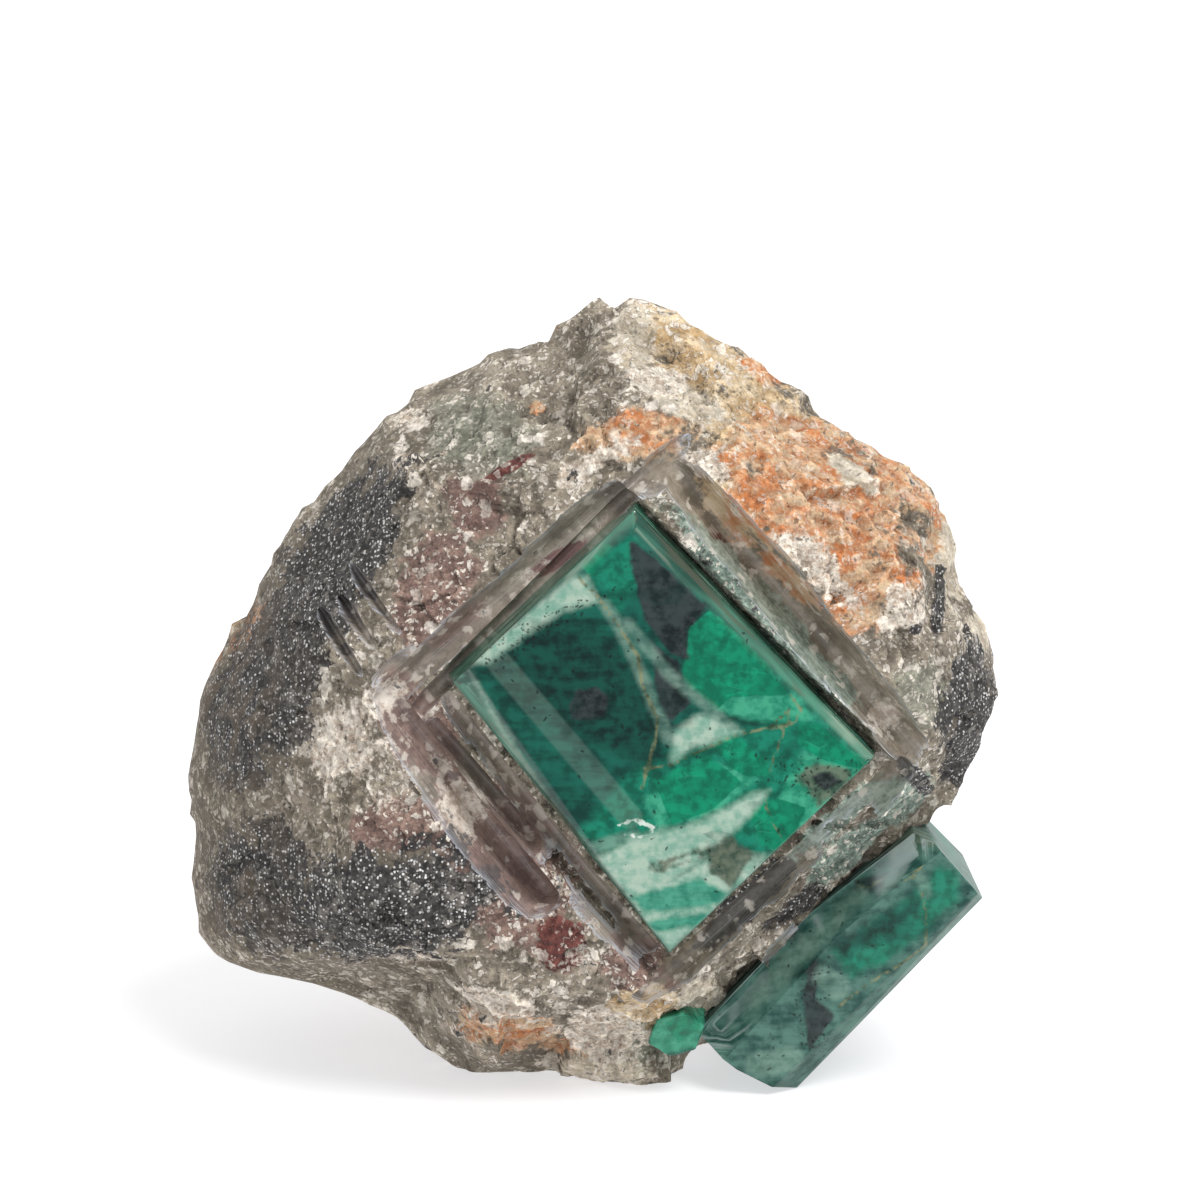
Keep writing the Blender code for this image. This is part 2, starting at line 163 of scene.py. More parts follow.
def inside_depth(x: np.ndarray, z: np.ndarray, corners: Sequence[Corner]) -> np.ndarray:
    """How deep points lie inside an outline in the front view, negative outside.

    Args:
        x: Points across.
        z: Points up.
        corners: The outline's corners in order.

    Returns:
        Signed distance to the outline.
    """
    inside = np.zeros(len(x), bool)
    for (ax, az), (bx, bz) in zip(corners, tuple(corners[1:]) + (corners[0],)):
        if az != bz:
            crossing = (az > z) != (bz > z)
            inside ^= crossing & (x < (bx - ax) * (z - az) / (bz - az) + ax)
    edge = path_distance(x, z, tuple(corners) + (corners[0],))
    return np.where(inside, edge, -edge)


def wheel_travel(points: np.ndarray, paths: Sequence[Sequence[Corner]]) -> tuple[np.ndarray, ...]:
    """Where points lie across and along the nearest path that a wheel ran.

    Args:
        points: One row of x, y and z for each point.
        paths: Corners of each path, whose ends give its direction.

    Returns:
        Distance to the nearest path, and the places across and along it.
    """
    x, y, z = points.T
    nearest, across, along = np.full(len(x), FAR), np.zeros(len(x)), np.zeros(len(x))
    for path in paths:
        (ax, az), (bx, bz) = path[0], path[-1]
        length = math.hypot(bx - ax, bz - az)
        dx, dz = (bx - ax) / length, (bz - az) / length
        far = path_distance(x, z, path)
        closer = far < nearest
        nearest = np.where(closer, far, nearest)
        across = np.where(closer, (x - ax) * dz - (z - az) * dx + y, across)
        along = np.where(closer, (x - ax) * dx + (z - az) * dz, along)
    return nearest, across, along


class Mineral(Enum):
    """What the rock is made of from place to place. The value names its attribute."""

    MAUVE = "mauve"
    GREEN = "green"
    OLIVE = "olive"
    OCHRE = "ochre"
    RUST = "rust"
    RED = "red"
    CREAM = "cream"
    PALE = "pale"
    SAGE = "sage"
    MICA = "mica"


class Vein(Enum):
    """What shows inside the emeralds, and a painted reflection on the polished face. The value names its
    attribute, in painting order.
    """

    MID = "mid_green"
    DARK = "dark_green"
    FRESH = "fresh_green"
    BRIGHT = "bright_green"
    MINT = "mint"
    STRIPE = "green_stripe"
    BROWN = "brown"
    CHARCOAL = "charcoal"
    HAZE = "haze"
    LINE = "vein"
    CHALK = "chalk"
    # Painted reflection: a faint pale band standing in for a light panel mirrored in the polished face.
    PAINTED_REFLECTION = "painted_reflection"
    PEPPER = "pepper"


@dataclass(frozen=True)
class Patch:
    """A patch of one mineral, placed as seen from the photo's side.

    Attributes:
        x: Its middle across.
        z: Its middle up, for depth 0.
        across: Reach across.
        up: Reach up.
        turn: Turn in degrees, anticlockwise as seen.
    """

    x: float
    z: float
    across: float
    up: float
    turn: float

    def weight(self, x: np.ndarray, z: np.ndarray) -> np.ndarray:
        """Weight of the patch at points as seen.

        Args:
            x: Points across.
            z: Points up, brought to depth 0 along the view.

        Returns:
            1 in the middle, 0.5 at the edge and 0 well outside.
        """
        turn = math.radians(self.turn)
        dx, dz = x - self.x, z - self.z
        u = (dx * math.cos(turn) + dz * math.sin(turn)) / self.across
        v = (dz * math.cos(turn) - dx * math.sin(turn)) / self.up
        return 1.0 - smooth_step(np.hypot(u, v), 0.35, 1.65)


@dataclass(frozen=True)
class Face:
    """A broken face of the rock: a point on it, its facing and its lean to the viewer."""

    name: str
    x: float
    y: float
    z: float
    way: float
    lean: float

    def normal(self) -> np.ndarray:
        """Unit normal of the face.

        Returns:
            The normal as x, y and z.
        """
        turn, tip = math.radians(self.way), math.radians(self.lean)
        flat = math.cos(tip)
        return np.array((math.cos(turn) * flat, -math.sin(tip), math.sin(turn) * flat))


def skin(loops: Sequence[Sequence[Vector]], slot: int = NATURAL_SLOT) -> bmesh.types.BMesh:
    """Closed solid through loops of as many places each.

    Args:
        loops: The loops, from one end of the solid to the other.
        slot: Material slot of its faces.

    Returns:
        The solid as a new mesh in millimetres.
    """
    bm = bmesh.new()
    rows = [[bm.verts.new(place) for place in loop] for loop in loops]
    count = len(rows[0])
    for near, far in zip(rows, rows[1:]):
        for i in range(count):
            j = (i + 1) % count
            bm.faces.new((near[i], near[j], far[j], far[i]))
    bm.faces.new(rows[0])
    bm.faces.new(rows[-1])
    bmesh.ops.recalc_face_normals(bm, faces=bm.faces)
    for face in bm.faces:
        face.material_index = slot
    return bm


@dataclass(frozen=True)
class Channel:
    """A wheel-ground channel.

    Attributes:
        name: Its name.
        path: Corners of its floor line.
        floor: Depth of the floor at its start.
        radius: Radius of the floor.
        outer: Flare of the outer wall in degrees.
        inner: Flare of the inner wall in degrees.
        run_out: Length over which the floor rises at each end.
        fall: How much deeper the floor lies at its end, negative where it is shallower.
    """

    name: str
    path: tuple[Corner, ...]
    floor: float
    radius: float
    outer: float
    inner: float
    run_out: float
    fall: float = 0.0

    RUN_OUT = ((-1.0, -14.0), (-0.4, -4.0), (0.0, -1.0), (1.0, 0.0))
    STEP = 1.0
    CORNER = 5.0
    ROUND_STEPS = 8
    WALL_REACHES = (0.7, 1.5, 2.4, 3.4, 4.6, 6.0, 8.0)

    def section(self, rise: float) -> list[Corner]:
        """Points across the channel.

        Args:
            rise: How far the floor is raised here.

        Returns:
            Offset and depth of each point, from the outer wall to the inner.
        """
        centre = self.floor + rise - self.radius
        start = math.radians(self.outer) - math.pi / 2
        end = math.pi / 2 - math.radians(self.inner)
        points = []
        for step in range(self.ROUND_STEPS + 1):
            turn = start + (end - start) * step / self.ROUND_STEPS
            points.append((self.radius * math.sin(turn), centre + self.radius * math.cos(turn)))
        for flare, side in ((self.outer, -1.0), (self.inner, 1.0)):
            offset, depth = points[0] if side < 0.0 else points[-1]
            for reach in (*self.WALL_REACHES, depth - IN_FRONT):
                out = reach * math.tan(math.radians(flare))
                place = (offset + side * out, depth - reach)
                points.insert(0 if side < 0.0 else len(points), place)
        return points

    def stations(self) -> list[tuple[Vector, Vector, float]]:
        """Places along the channel.

        Returns:
            The point, direction of travel and rise of the floor at each place.
        """
        points = [Vector((x, 0.0, z)) for x, z in self.path]
        ways = [(b - a).normalized() for a, b in zip(points, points[1:])]
        found = [(points[0] + ways[0] * s * self.run_out, ways[0], r) for s, r in self.RUN_OUT]
        for index, (start, end) in enumerate(zip(points, points[1:])):
            first = self.run_out if index == 0 else self.CORNER
            last = self.run_out if index == len(ways) - 1 else self.CORNER
            count = int(((end - start).length - first - last) / self.STEP)
            for step in range(1, count):
                share = first + ((end - start).length - first - last) * step / count
                found.append((start + ways[index] * share, ways[index], 0.0))
            if index + 1 < len(ways):
                found.append((end, (ways[index] + ways[index + 1]).normalized(), 0.0))
        for s, r in reversed(self.RUN_OUT):
            found.append((points[-1] - ways[-1] * s * self.run_out, ways[-1], r))
        span = points[-1] - points[0]
        shares = [(place - points[0]).dot(span) / span.length_squared for place, _, _ in found]
        return [(place, way, rise + self.fall * s) for (place, way, rise), s in zip(found, shares)]

    def cutter(self) -> bpy.types.Object:
        """Make the solid that the wheel took away.

        Returns:
            The cutter, with its faces on the slot of the ground rock.
        """
        loops = []
        for centre, way, rise in self.stations():
            across = Vector((way.z, 0.0, -way.x))
            loops.append([centre + across * w + Vector((0.0, y, 0.0)) for w, y in self.section(rise)])
        return add_object(self.name, skin(loops, GROUND_SLOT))


def loft(rings: Sequence[tuple[float, Sequence[Corner]]]) -> bmesh.types.BMesh:
    """Closed solid through rings of corners at their depths.

    Args:
        rings: Depth and corners of each ring, from the front to the back.

    Returns:
        The solid as a new mesh in millimetres.
    """
    return skin([[Vector((x, depth, z)) for x, z in corners] for depth, corners in rings])


def bevel(
    bm: bmesh.types.BMesh, edges: Sequence[bmesh.types.BMEdge], width: float, steps: int
) -> None:
    """Break the sharp edges of a mesh.

    Args:
        bm: The mesh, changed in place.
        edges: The edges.
        width: Width of the bevel on each side of an edge.
        steps: Faces across the bevel.
    """
    bmesh.ops.bevel(bm, geom=edges, offset=width, segments=steps, profile=0.5, affect="EDGES")


def refine(bm: bmesh.types.BMesh, size: float, back: float, coarser: float = 4.0) -> None:
    """Halve long edges until none in front of a depth is longer than size.

    Args:
        bm: The mesh, changed in place.
        size: Longest edge in millimetres.
        back: Edges wholly behind this depth may be longer.
        coarser: How many times longer.
    """
    bmesh.ops.triangulate(bm, faces=bm.faces)
    waiting = bm.edges[:]
    while waiting:
        waiting.sort(key=lambda edge: -edge.calc_length())
        made = []
        for edge in waiting:
            behind = min(edge.verts[0].co.y, edge.verts[1].co.y) > back
            if edge.calc_length() <= size * (coarser if behind else 1.0):
                continue
            half, middle = bmesh.utils.edge_split(edge, edge.verts[0], 0.5)
            made += [edge, half]
            for face in middle.link_faces[:]:
                joined = [link.other_vert(middle) for link in middle.link_edges]
                across = next(v for v in face.verts if v is not middle and v not in joined)
                _, loop = bmesh.utils.face_split(face, middle, across)
                made.append(loop.edge)
        waiting = [edge for edge in set(made) if edge.is_valid]


def cut(target: bpy.types.Object, cutters: Sequence[bpy.types.Object]) -> None:
    """Cut solids from a piece for good and remove them.

    Args:
        target: The piece.
        cutters: What is cut away.
    """
    for cutter in cutters:
        boolean = target.modifiers.new(cutter.name, "BOOLEAN")
        boolean.operation = "DIFFERENCE"
        boolean.solver = "MANIFOLD"
        boolean.object = cutter
    graph = bpy.context.evaluated_depsgraph_get()
    made = bpy.data.meshes.new_from_object(target.evaluated_get(graph))
    target.modifiers.clear()
    target.data = made
    for cutter in cutters:
        bpy.data.objects.remove(cutter)


class Graph:
    """Shader nodes of one material. Sizes are in millimetres."""

    def __init__(self, name: str) -> None:
        """Start a material with a Principled shader.

        Args:
            name: Name of the material.
        """
        self.material = bpy.data.materials.new(name)
        self.material.use_nodes = True
        self.tree = self.material.node_tree
        self.shader = self.tree.nodes["Principled BSDF"]
        self.place = self.node("ShaderNodeTexCoord").outputs["Object"]

    def node(self, kind: str, **settings: Any) -> bpy.types.Node:
        """Add a node.

        Args:
            kind: Blender's name for the node type.
            **settings: Its properties.

        Returns:
            The node.
        """
        made = self.tree.nodes.new(kind)
        for name, value in settings.items():
            setattr(made, name, value)
        return made

    def feed(self, socket: bpy.types.NodeSocket, value: Any) -> None:
        """Join a value or another socket to a socket.

        Args:
            socket: Where it goes.
            value: A number, a colour or an output socket.
        """
        if isinstance(value, bpy.types.NodeSocket):
            self.tree.links.new(value, socket)
        elif isinstance(value, tuple) and len(value) == 3 and socket.type == "RGBA":
            socket.default_value = (*value, 1.0)
        else:
            socket.default_value = value

    def math(self, operation: str, a: Any, b: Any = 0.0, clamp: bool = False) -> Any:
        """Work out one sum of two numbers.

        Args:
            operation: Blender's name for it.
            a: First number or socket.
            b: Second number or socket.
            clamp: Keep the result from 0 to 1.

        Returns:
            The result's socket.
        """
        made = self.node("ShaderNodeMath", operation=operation, use_clamp=clamp)
        self.feed(made.inputs[0], a)
        self.feed(made.inputs[1], b)
        return made.outputs[0]

    def ease(self, value: Any, low: float, high: float, start: float = 0.0, end: float = 1.0) -> Any:
        """Ease a number between two limits.

        Args:
            value: Number or socket.
            low: Where the result is start.
            high: Where the result is end.
            start: Result at low.
            end: Result at high.

        Returns:
            The result's socket.
        """
        made = self.node("ShaderNodeMapRange", interpolation_type="SMOOTHSTEP")
        for index, number in enumerate((value, low, high, start, end)):
            self.feed(made.inputs[index], number)
        return made.outputs[0]

    def mix(self, share: Any, a: Any, b: Any, blend: str = "MIX") -> Any:
        """Mix two colours.

        Args:
            share: Share of the second.
            a: First colour or socket.
            b: Second colour or socket.
            blend: Blender's name for the way they mix.

        Returns:
            The result's socket.
        """
        made = self.node("ShaderNodeMix", data_type="RGBA", blend_type=blend)
        self.feed(made.inputs["Factor"], share)
        self.feed(made.inputs[6], a)
        self.feed(made.inputs[7], b)
        return made.outputs[2]

    def clouds(
        self, size: float, detail: float = 3.0, place: Any = None, rough: float = 0.55
    ) -> bpy.types.Node:
        """Cloudy noise with its colour.

        Args:
            size: Size of its lumps.
            detail: How many finer layers it has.
            place: Where it is read, the object's own place if left out.
            rough: Weight of the finer layers.

        Returns:
            The node, with a number and a colour round 0.5.
        """
        made = self.node("ShaderNodeTexNoise")
        self.feed(made.inputs["Vector"], place or self.place)
        made.inputs["Scale"].default_value = 1.0 / (size * MM)
        made.inputs["Detail"].default_value = detail
        made.inputs["Roughness"].default_value = rough
        return made

    def noise(self, size: float, detail: float = 3.0, place: Any = None, rough: float = 0.55) -> Any:
        """Cloudy noise.

        Args:
            size: Size of its lumps.
            detail: How many finer layers it has.
            place: Where it is read, the object's own place if left out.
            rough: Weight of the finer layers.

        Returns:
            Socket of a number round 0.5.
        """
        return self.clouds(size, detail, place, rough).outputs["Fac"]

    def swirled(self, clouds: bpy.types.Node, reach: float) -> Any:
        """The object's own place, pushed about by noise.

        Args:
            clouds: The noise node.
            reach: How far it pushes, in millimetres.

        Returns:
            Socket of the place.
        """
        push = self.node("ShaderNodeVectorMath", operation="MULTIPLY_ADD")
        self.feed(push.inputs[0], clouds.outputs["Color"])
        push.inputs[1].default_value = (2.0 * reach * MM,) * 3
        self.feed(push.inputs[2], self.place)
        return push.outputs[0]

    def cells(self, size: float, place: Any = None, feature: str = "F1") -> bpy.types.Node:
        """Cells as of grains or flakes.

        Args:
            size: Size of a cell.
            place: Where they are read, the object's own place if left out.
            feature: Blender's name for what is measured.

        Returns:
            The node, with its distance and a random colour for each cell.
        """
        made = self.node("ShaderNodeTexVoronoi", feature=feature)
        self.feed(made.inputs["Vector"], place or self.place)
        made.inputs["Scale"].default_value = 1.0 / (size * MM)
        return made

    def chance(self, cells: bpy.types.Node) -> Any:
        """A random number for each cell.

        Args:
            cells: The cell node.

        Returns:
            Socket of a number from 0 to 1.
        """
        made = self.node("ShaderNodeSeparateColor")
        self.feed(made.inputs[0], cells.outputs["Color"])
        return made.outputs[0]

    def read(self, name: str) -> Any:
        """Read an attribute of the mesh.

        Args:
            name: Its name.

        Returns:
            Socket of its number.
        """
        return self.node("ShaderNodeAttribute", attribute_name=name).outputs["Fac"]

    def blend(self, a: Any, b: Any, share: float) -> Any:
        """Weigh two numbers together.

        Args:
            a: Socket of the first.
            b: Socket of the second.
            share: Weight of the first, with the rest for the second.

        Returns:
            The result's socket.
        """
        made = self.node("ShaderNodeMath", operation="MULTIPLY_ADD")
        self.feed(made.inputs[0], a)
        made.inputs[1].default_value = share
        self.feed(made.inputs[2], self.math("MULTIPLY", b, 1.0 - share))
        return made.outputs[0]

    def drawn_out(self, turn: float, length: float) -> Any:
        """The object's own place, drawn out along one direction of the front view.

        Args:
            turn: The direction in degrees, anticlockwise from the right.
            length: How many times longer than wide things come out.

        Returns:
            Socket of the place.
        """
        made = self.node("ShaderNodeMapping")
        self.feed(made.inputs["Vector"], self.place)
        made.inputs["Rotation"].default_value = (0.0, math.radians(turn), 0.0)
        made.inputs["Scale"].default_value = (1.0 / length, 1.0, 1.0)
        return made.outputs[0]

    def lanes(self, fine: float, long: float) -> Any:
        """Noise drawn out along the wheel's travel.

        Args:
            fine: Width of a streak.
            long: Length of a streak.

        Returns:
            Socket of a number round 0.5.
        """
        made = self.node("ShaderNodeCombineXYZ")
        self.feed(made.inputs[0], self.math("MULTIPLY", self.read("across"), MM))
        self.feed(made.inputs[1], self.math("MULTIPLY", self.read("along"), MM * fine / long))
        return self.noise(fine, 2.0, made.outputs[0])

    def finish(self, colour: Any, roughness: Any, **sockets: Any) -> bpy.types.Material:
        """Feed the shader.

        Args:
            colour: Base colour or its socket.
            roughness: Roughness or its socket.
            **sockets: Other inputs of the shader, with _ for a space.

        Returns:
            The material.
        """
        self.feed(self.shader.inputs["Base Color"], colour)
        self.feed(self.shader.inputs["Roughness"], roughness)
        for name, value in sockets.items():
            self.feed(self.shader.inputs[name.replace("_", " ")], value)
        return self.material

    def bump(self, height: Any, depth: float, strength: float = 1.0) -> Any:
        """Relief finer than the mesh.

        Args:
            height: Socket of the height, 0 to 1.
            depth: Depth of the relief in millimetres.
            strength: How much of it shows.

        Returns:
            Socket of the bent normal.
        """
        made = self.node("ShaderNodeBump")
        made.inputs["Strength"].default_value = strength
        made.inputs["Distance"].default_value = depth * MM
        self.feed(made.inputs["Height"], height)
        return made.outputs[0]


@dataclass(frozen=True)
class Tone:
    """Look of one mineral or vein.

    Attributes:
        dark: Its darker colour.
        light: Its lighter colour.
        ragged: How ragged its edge is.
        soft: How soft its edge is.
        fine: Share of fine mottle in it, against broad mottle.
        share: How much of what lies under it it hides.
    """

    dark: Colour
    light: Colour
    ragged: float
    soft: float = 0.12
    fine: float = 0.5
    share: float = 1.0


ROCK_TONES: dict[Mineral, Tone] = {
    Mineral.MAUVE: Tone((0.115, 0.060, 0.050), (0.29, 0.185, 0.150), 0.9, 0.16, 0.5, 0.9),
    Mineral.GREEN: Tone((0.14, 0.150, 0.110), (0.33, 0.34, 0.27), 0.8, 0.16, 0.5, 0.7),
    Mineral.OLIVE: Tone((0.080, 0.066, 0.048), (0.26, 0.22, 0.155), 0.8, 0.14, 0.7, 0.9),
    Mineral.OCHRE: Tone((0.44, 0.29, 0.14), (0.68, 0.54, 0.36), 1.0, 0.16, 0.4),
    Mineral.RUST: Tone((0.50, 0.165, 0.045), (0.60, 0.43, 0.27), 1.0, 0.16, 0.4, 0.95),
    Mineral.RED: Tone((0.070, 0.011, 0.009), (0.16, 0.045, 0.035), 0.5, 0.12, 0.6, 0.97),
    Mineral.CREAM: Tone((0.44, 0.37, 0.27), (0.66, 0.59, 0.48), 0.8, 0.16, 0.3),
    Mineral.PALE: Tone((0.44, 0.35, 0.27), (0.86, 0.79, 0.69), 1.3, 0.16, 0.7, 0.95),
    Mineral.SAGE: Tone((0.10, 0.16, 0.13), (0.34, 0.43, 0.36), 0.7, 0.16, 0.6, 0.9),
    Mineral.MICA: Tone((0.006, 0.006, 0.007), (0.060, 0.056, 0.054), 1.0, 0.09, 0.8, 0.97),
}


@dataclass(frozen=True)
class RockFinish:
    """Natural broken rock, and the same rock where the wheel ground it."""

    khaki_dark: Colour = (0.135, 0.112, 0.082)
    khaki_light: Colour = (0.36, 0.31, 0.24)
    crumb: Colour = (0.80, 0.73, 0.64)
    fleck: Colour = (0.035, 0.03, 0.028)
    # Painted glint: light grey put into the mica's colour for its sparkles of reflected light.
    painted_glint: Colour = (0.66, 0.65, 0.64)
    rind: Colour = (0.13, 0.10, 0.07)
    ground_left: Colour = (0.27, 0.235, 0.230)
    ground_right: Colour = (0.17, 0.150, 0.120)
    # Bluish-white of the scratched channel rims, also a painted highlight along them.
    scratch: Colour = (0.50, 0.54, 0.60)
    worn_dark: Colour = (0.045, 0.038, 0.037)
    worn_light: Colour = (0.44, 0.44, 0.44)
    broad_size: float = 4.5
    fine_size: float = 0.85
    crumbs: tuple[tuple[float, float], ...] = ((2.2, 0.16), (1.1, 0.26), (0.6, 0.36))
    fleck_share: float = 0.10
    grain_size: float = 0.34
    shard_size: float = 1.5
    streak_turn: float = -42.0
    raggedness: float = 2.6
    relief: float = 0.55
    ground_relief: float = 0.05
    rind_start: float = -30.0
    rind_end: float = -46.0
    tint_share: float = 0.26

    def noises(self, graph: Graph) -> tuple[bpy.types.Node, Any]:
        """The broad and the fine noise that both finishes share.

        Args:
            graph: The material's nodes.

        Returns:
            The broad noise's node and the fine noise's socket.
        """
        return graph.clouds(self.broad_size, 4.0, rough=0.6), graph.noise(self.fine_size, 3.0, rough=0.7)

    def sideways(self, graph: Graph) -> Any:
        """Place across the rock.

        Args:
            graph: The material's nodes.

        Returns:
            Socket of the object's own X in metres.
        """
        parts = graph.node("ShaderNodeSeparateXYZ")
        graph.feed(parts.inputs[0], graph.place)
        return parts.outputs[0]

    def body_colour(self, graph: Graph, broad: bpy.types.Node, fine: Any) -> Any:
        """Colours of the minerals, patch over patch.

        Args:
            graph: The material's nodes.
            broad: The broad noise.
            fine: Socket of the fine noise.

        Returns:
            Socket of the colour.
        """
        streaks = graph.noise(2.2, 3.0, graph.drawn_out(self.streak_turn, 2.6))
        broad_push = graph.math("SUBTRACT", broad.outputs["Fac"], 0.5)
        fine_push = graph.math("MULTIPLY", graph.math("SUBTRACT", fine, 0.5), 0.9)
        tones = graph.math("ADD", broad.outputs["Fac"], graph.math("MULTIPLY", fine_push, 0.5))
        colour = graph.mix(graph.ease(tones, 0.34, 0.64), self.khaki_dark, self.khaki_light)
        for mineral, tone in ROCK_TONES.items():
            push = graph.math("MULTIPLY", broad_push, self.raggedness * tone.ragged)
            reach = graph.math("ADD", graph.math("ADD", graph.read(mineral.value), push), fine_push)
            mask = graph.ease(reach, 0.5 - tone.soft, 0.5 + tone.soft, 0.0, tone.share)
            mottle = graph.blend(fine, streaks, tone.fine)
            shade = graph.mix(graph.ease(mottle, 0.38, 0.62), tone.dark, tone.light)
            colour = graph.mix(mask, colour, shade)
        return colour

    def natural(self) -> bpy.types.Material:
        """Broken rock with crumbs and flecks, painted glints on the mica and painted shade in its creases.

        Returns:
            The material.
        """
        graph = Graph("broken_rock")
        broad, fine = self.noises(graph)
        colour = self.body_colour(graph, broad, fine)
        mica = graph.ease(graph.read(Mineral.MICA.value), 0.30, 0.60)
        stained = graph.math("MAXIMUM", graph.read(Mineral.RUST.value), graph.read(Mineral.RED.value))
        bare = graph.math("SUBTRACT", 1.0, graph.math("MULTIPLY", mica, 0.8))
        bare = graph.math("MULTIPLY", bare, graph.ease(stained, 0.3, 0.6, 1.0, 0.55))
        crust = graph.ease(broad.outputs["Fac"], 0.38, 0.56, 0.35, 1.0)
        crust = graph.math("MULTIPLY", crust, bare)
        swirled = graph.swirled(graph.clouds(1.3, 2.0), 1.1)
        raised = None
        for size, share in self.crumbs:
            cells = graph.cells(size, swirled)
            lit = graph.math("GREATER_THAN", graph.chance(cells), 1.0 - share)
            near = graph.ease(cells.outputs["Distance"], 0.50, 0.36)
            mask = graph.math("MULTIPLY", graph.math("MULTIPLY", lit, near), crust)
            colour = graph.mix(graph.math("MULTIPLY", mask, 0.80), colour, self.crumb)
            raised = mask if raised is None else graph.math("MAXIMUM", raised, mask)
            if size < 1.0:
                dark = graph.math("LESS_THAN", graph.chance(cells), self.fleck_share)
                dark = graph.math("MULTIPLY", dark, near)
                colour = graph.mix(graph.math("MULTIPLY", dark, 0.6), colour, self.fleck)
        grains = graph.cells(self.grain_size)
        grain = graph.chance(grains)
        # Painted glints: some fine grains on the mica turn light grey and smoother, standing in for sparkles
        # of reflected light.
        painted_glint_mask = graph.math("MULTIPLY", graph.ease(grain, 0.68, 0.96), mica)
        painted_glint_mask = graph.math("MULTIPLY", painted_glint_mask, graph.ease(grains.outputs["Distance"], 0.56, 0.40))
        colour = graph.mix(graph.math("MULTIPLY", painted_glint_mask, 0.85), colour, self.painted_glint)
        rind = graph.ease(self.sideways(graph), self.rind_start * MM, self.rind_end * MM)
        rind = graph.math("MULTIPLY", rind, graph.ease(broad.outputs["Fac"], 0.44, 0.62, 0.0, 0.8))
        colour = graph.mix(rind, colour, self.rind)
        # Painted shade: colour darkened in creases and hollows by pointiness, and lightened on sharp edges
        # as worn rock; each grain's tone also varies a little.
        wear_and_crease_shade = graph.node("ShaderNodeNewGeometry").outputs["Pointiness"]
        light = graph.ease(wear_and_crease_shade, 0.46, 0.56, 0.72, 1.22)
        light = graph.math("MULTIPLY", light, graph.ease(grain, 0.0, 1.0, 0.84, 1.16))
        tint = graph.node("ShaderNodeCombineColor")
        for socket in tint.inputs[:3]:
            graph.feed(socket, light)
        colour = graph.mix(1.0, colour, tint.outputs[0], "MULTIPLY")
        roughness = graph.math("SUBTRACT", 0.80, graph.math("MULTIPLY", painted_glint_mask, 0.5))
        height = graph.math("ADD", fine, graph.math("MULTIPLY", raised, 0.35))
        height = graph.math("ADD", height, graph.math("MULTIPLY", grain, 0.22))
        return graph.finish(colour, roughness, Normal=graph.bump(height, self.relief, 0.9))

    def ground(self) -> bpy.types.Material:
        """Rock ground satin by the wheel, scratched along its travel, with pale rim marks that are partly
        painted highlights.

        Returns:
            The material.
        """
        graph = Graph("ground_rock")
        broad, fine = self.noises(graph)
        colour = self.body_colour(graph, broad, fine)
        right = graph.ease(self.sideways(graph), 2.0 * MM, 12.0 * MM)
        tint = graph.mix(right, self.ground_left, self.ground_right)
        colour = graph.mix(self.tint_share, colour, tint)
        shards = graph.cells(self.shard_size, graph.swirled(graph.clouds(1.3, 2.0), 1.1))
        near = graph.ease(shards.outputs["Distance"], 0.6, 0.3)
        pale = graph.math("MULTIPLY", graph.ease(graph.chance(shards), 0.72, 0.80), near)
        colour = graph.mix(graph.math("MULTIPLY", pale, 0.5), colour, self.crumb)
        streak = graph.lanes(0.30, 12.0)
        colour = graph.mix(graph.ease(streak, 0.44, 0.32, 0.0, 0.14), colour, self.worn_dark)
        colour = graph.mix(graph.ease(streak, 0.58, 0.70, 0.0, 0.20), colour, self.worn_light)
        # Rim marks: scratched wear along the channel rims, partly a painted highlight where the rims catch
        # the light.
        rim_wear_and_highlight = graph.math("MULTIPLY", graph.read("edge"), graph.ease(graph.lanes(0.2, 5.0), 0.42, 0.60))
        colour = graph.mix(graph.math("MULTIPLY", rim_wear_and_highlight, 0.9, clamp=True), colour, self.scratch)
        roughness = graph.ease(streak, 0.3, 0.7, 0.22, 0.42)
        return graph.finish(colour, roughness, Normal=graph.bump(streak, self.ground_relief, 0.5))


VEIN_TONES: dict[Vein, Tone] = {
    Vein.MID: Tone((0.001, 0.090, 0.052), (0.006, 0.20, 0.122), 0.5, 0.9, 0.8, 0.90),
    Vein.DARK: Tone((0.001, 0.014, 0.012), (0.003, 0.058, 0.042), 0.8, 1.2, 0.65, 0.93),
    Vein.FRESH: Tone((0.008, 0.19, 0.110), (0.050, 0.34, 0.205), 0.5, 0.5, 0.7, 0.9),
    Vein.BRIGHT: Tone((0.0, 0.115, 0.060), (0.002, 0.25, 0.130), 0.22, 0.12, 0.8),
    Vein.MINT: Tone((0.18, 0.35, 0.27), (0.37, 0.48, 0.39), 0.30, 0.7, 0.7, 0.94),
    Vein.STRIPE: Tone((0.004, 0.15, 0.095), (0.035, 0.27, 0.18), 0.4, 0.5, 0.5, 0.9),
    Vein.BROWN: Tone((0.030, 0.055, 0.036), (0.12, 0.14, 0.10), 0.6, 0.4, 0.8, 0.90),
    Vein.CHARCOAL: Tone((0.005, 0.009, 0.010), (0.032, 0.042, 0.044), 0.3, 0.3, 0.7, 0.96),
    Vein.HAZE: Tone((0.08, 0.17, 0.135), (0.19, 0.31, 0.25), 0.15, 0.5, 0.6, 0.62),
    Vein.LINE: Tone((0.040, 0.045, 0.015), (0.22, 0.23, 0.12), 0.08, 0.12, 0.8, 0.75),
    Vein.CHALK: Tone((0.42, 0.50, 0.44), (0.80, 0.84, 0.78), 0.5, 0.10, 0.9, 0.7),
    # Painted reflection: faint pale green-grey, laid over what lies under it.
    Vein.PAINTED_REFLECTION: Tone((0.16, 0.24, 0.20), (0.20, 0.29, 0.24), 0.0, 0.25, 0.3, 0.22),
}


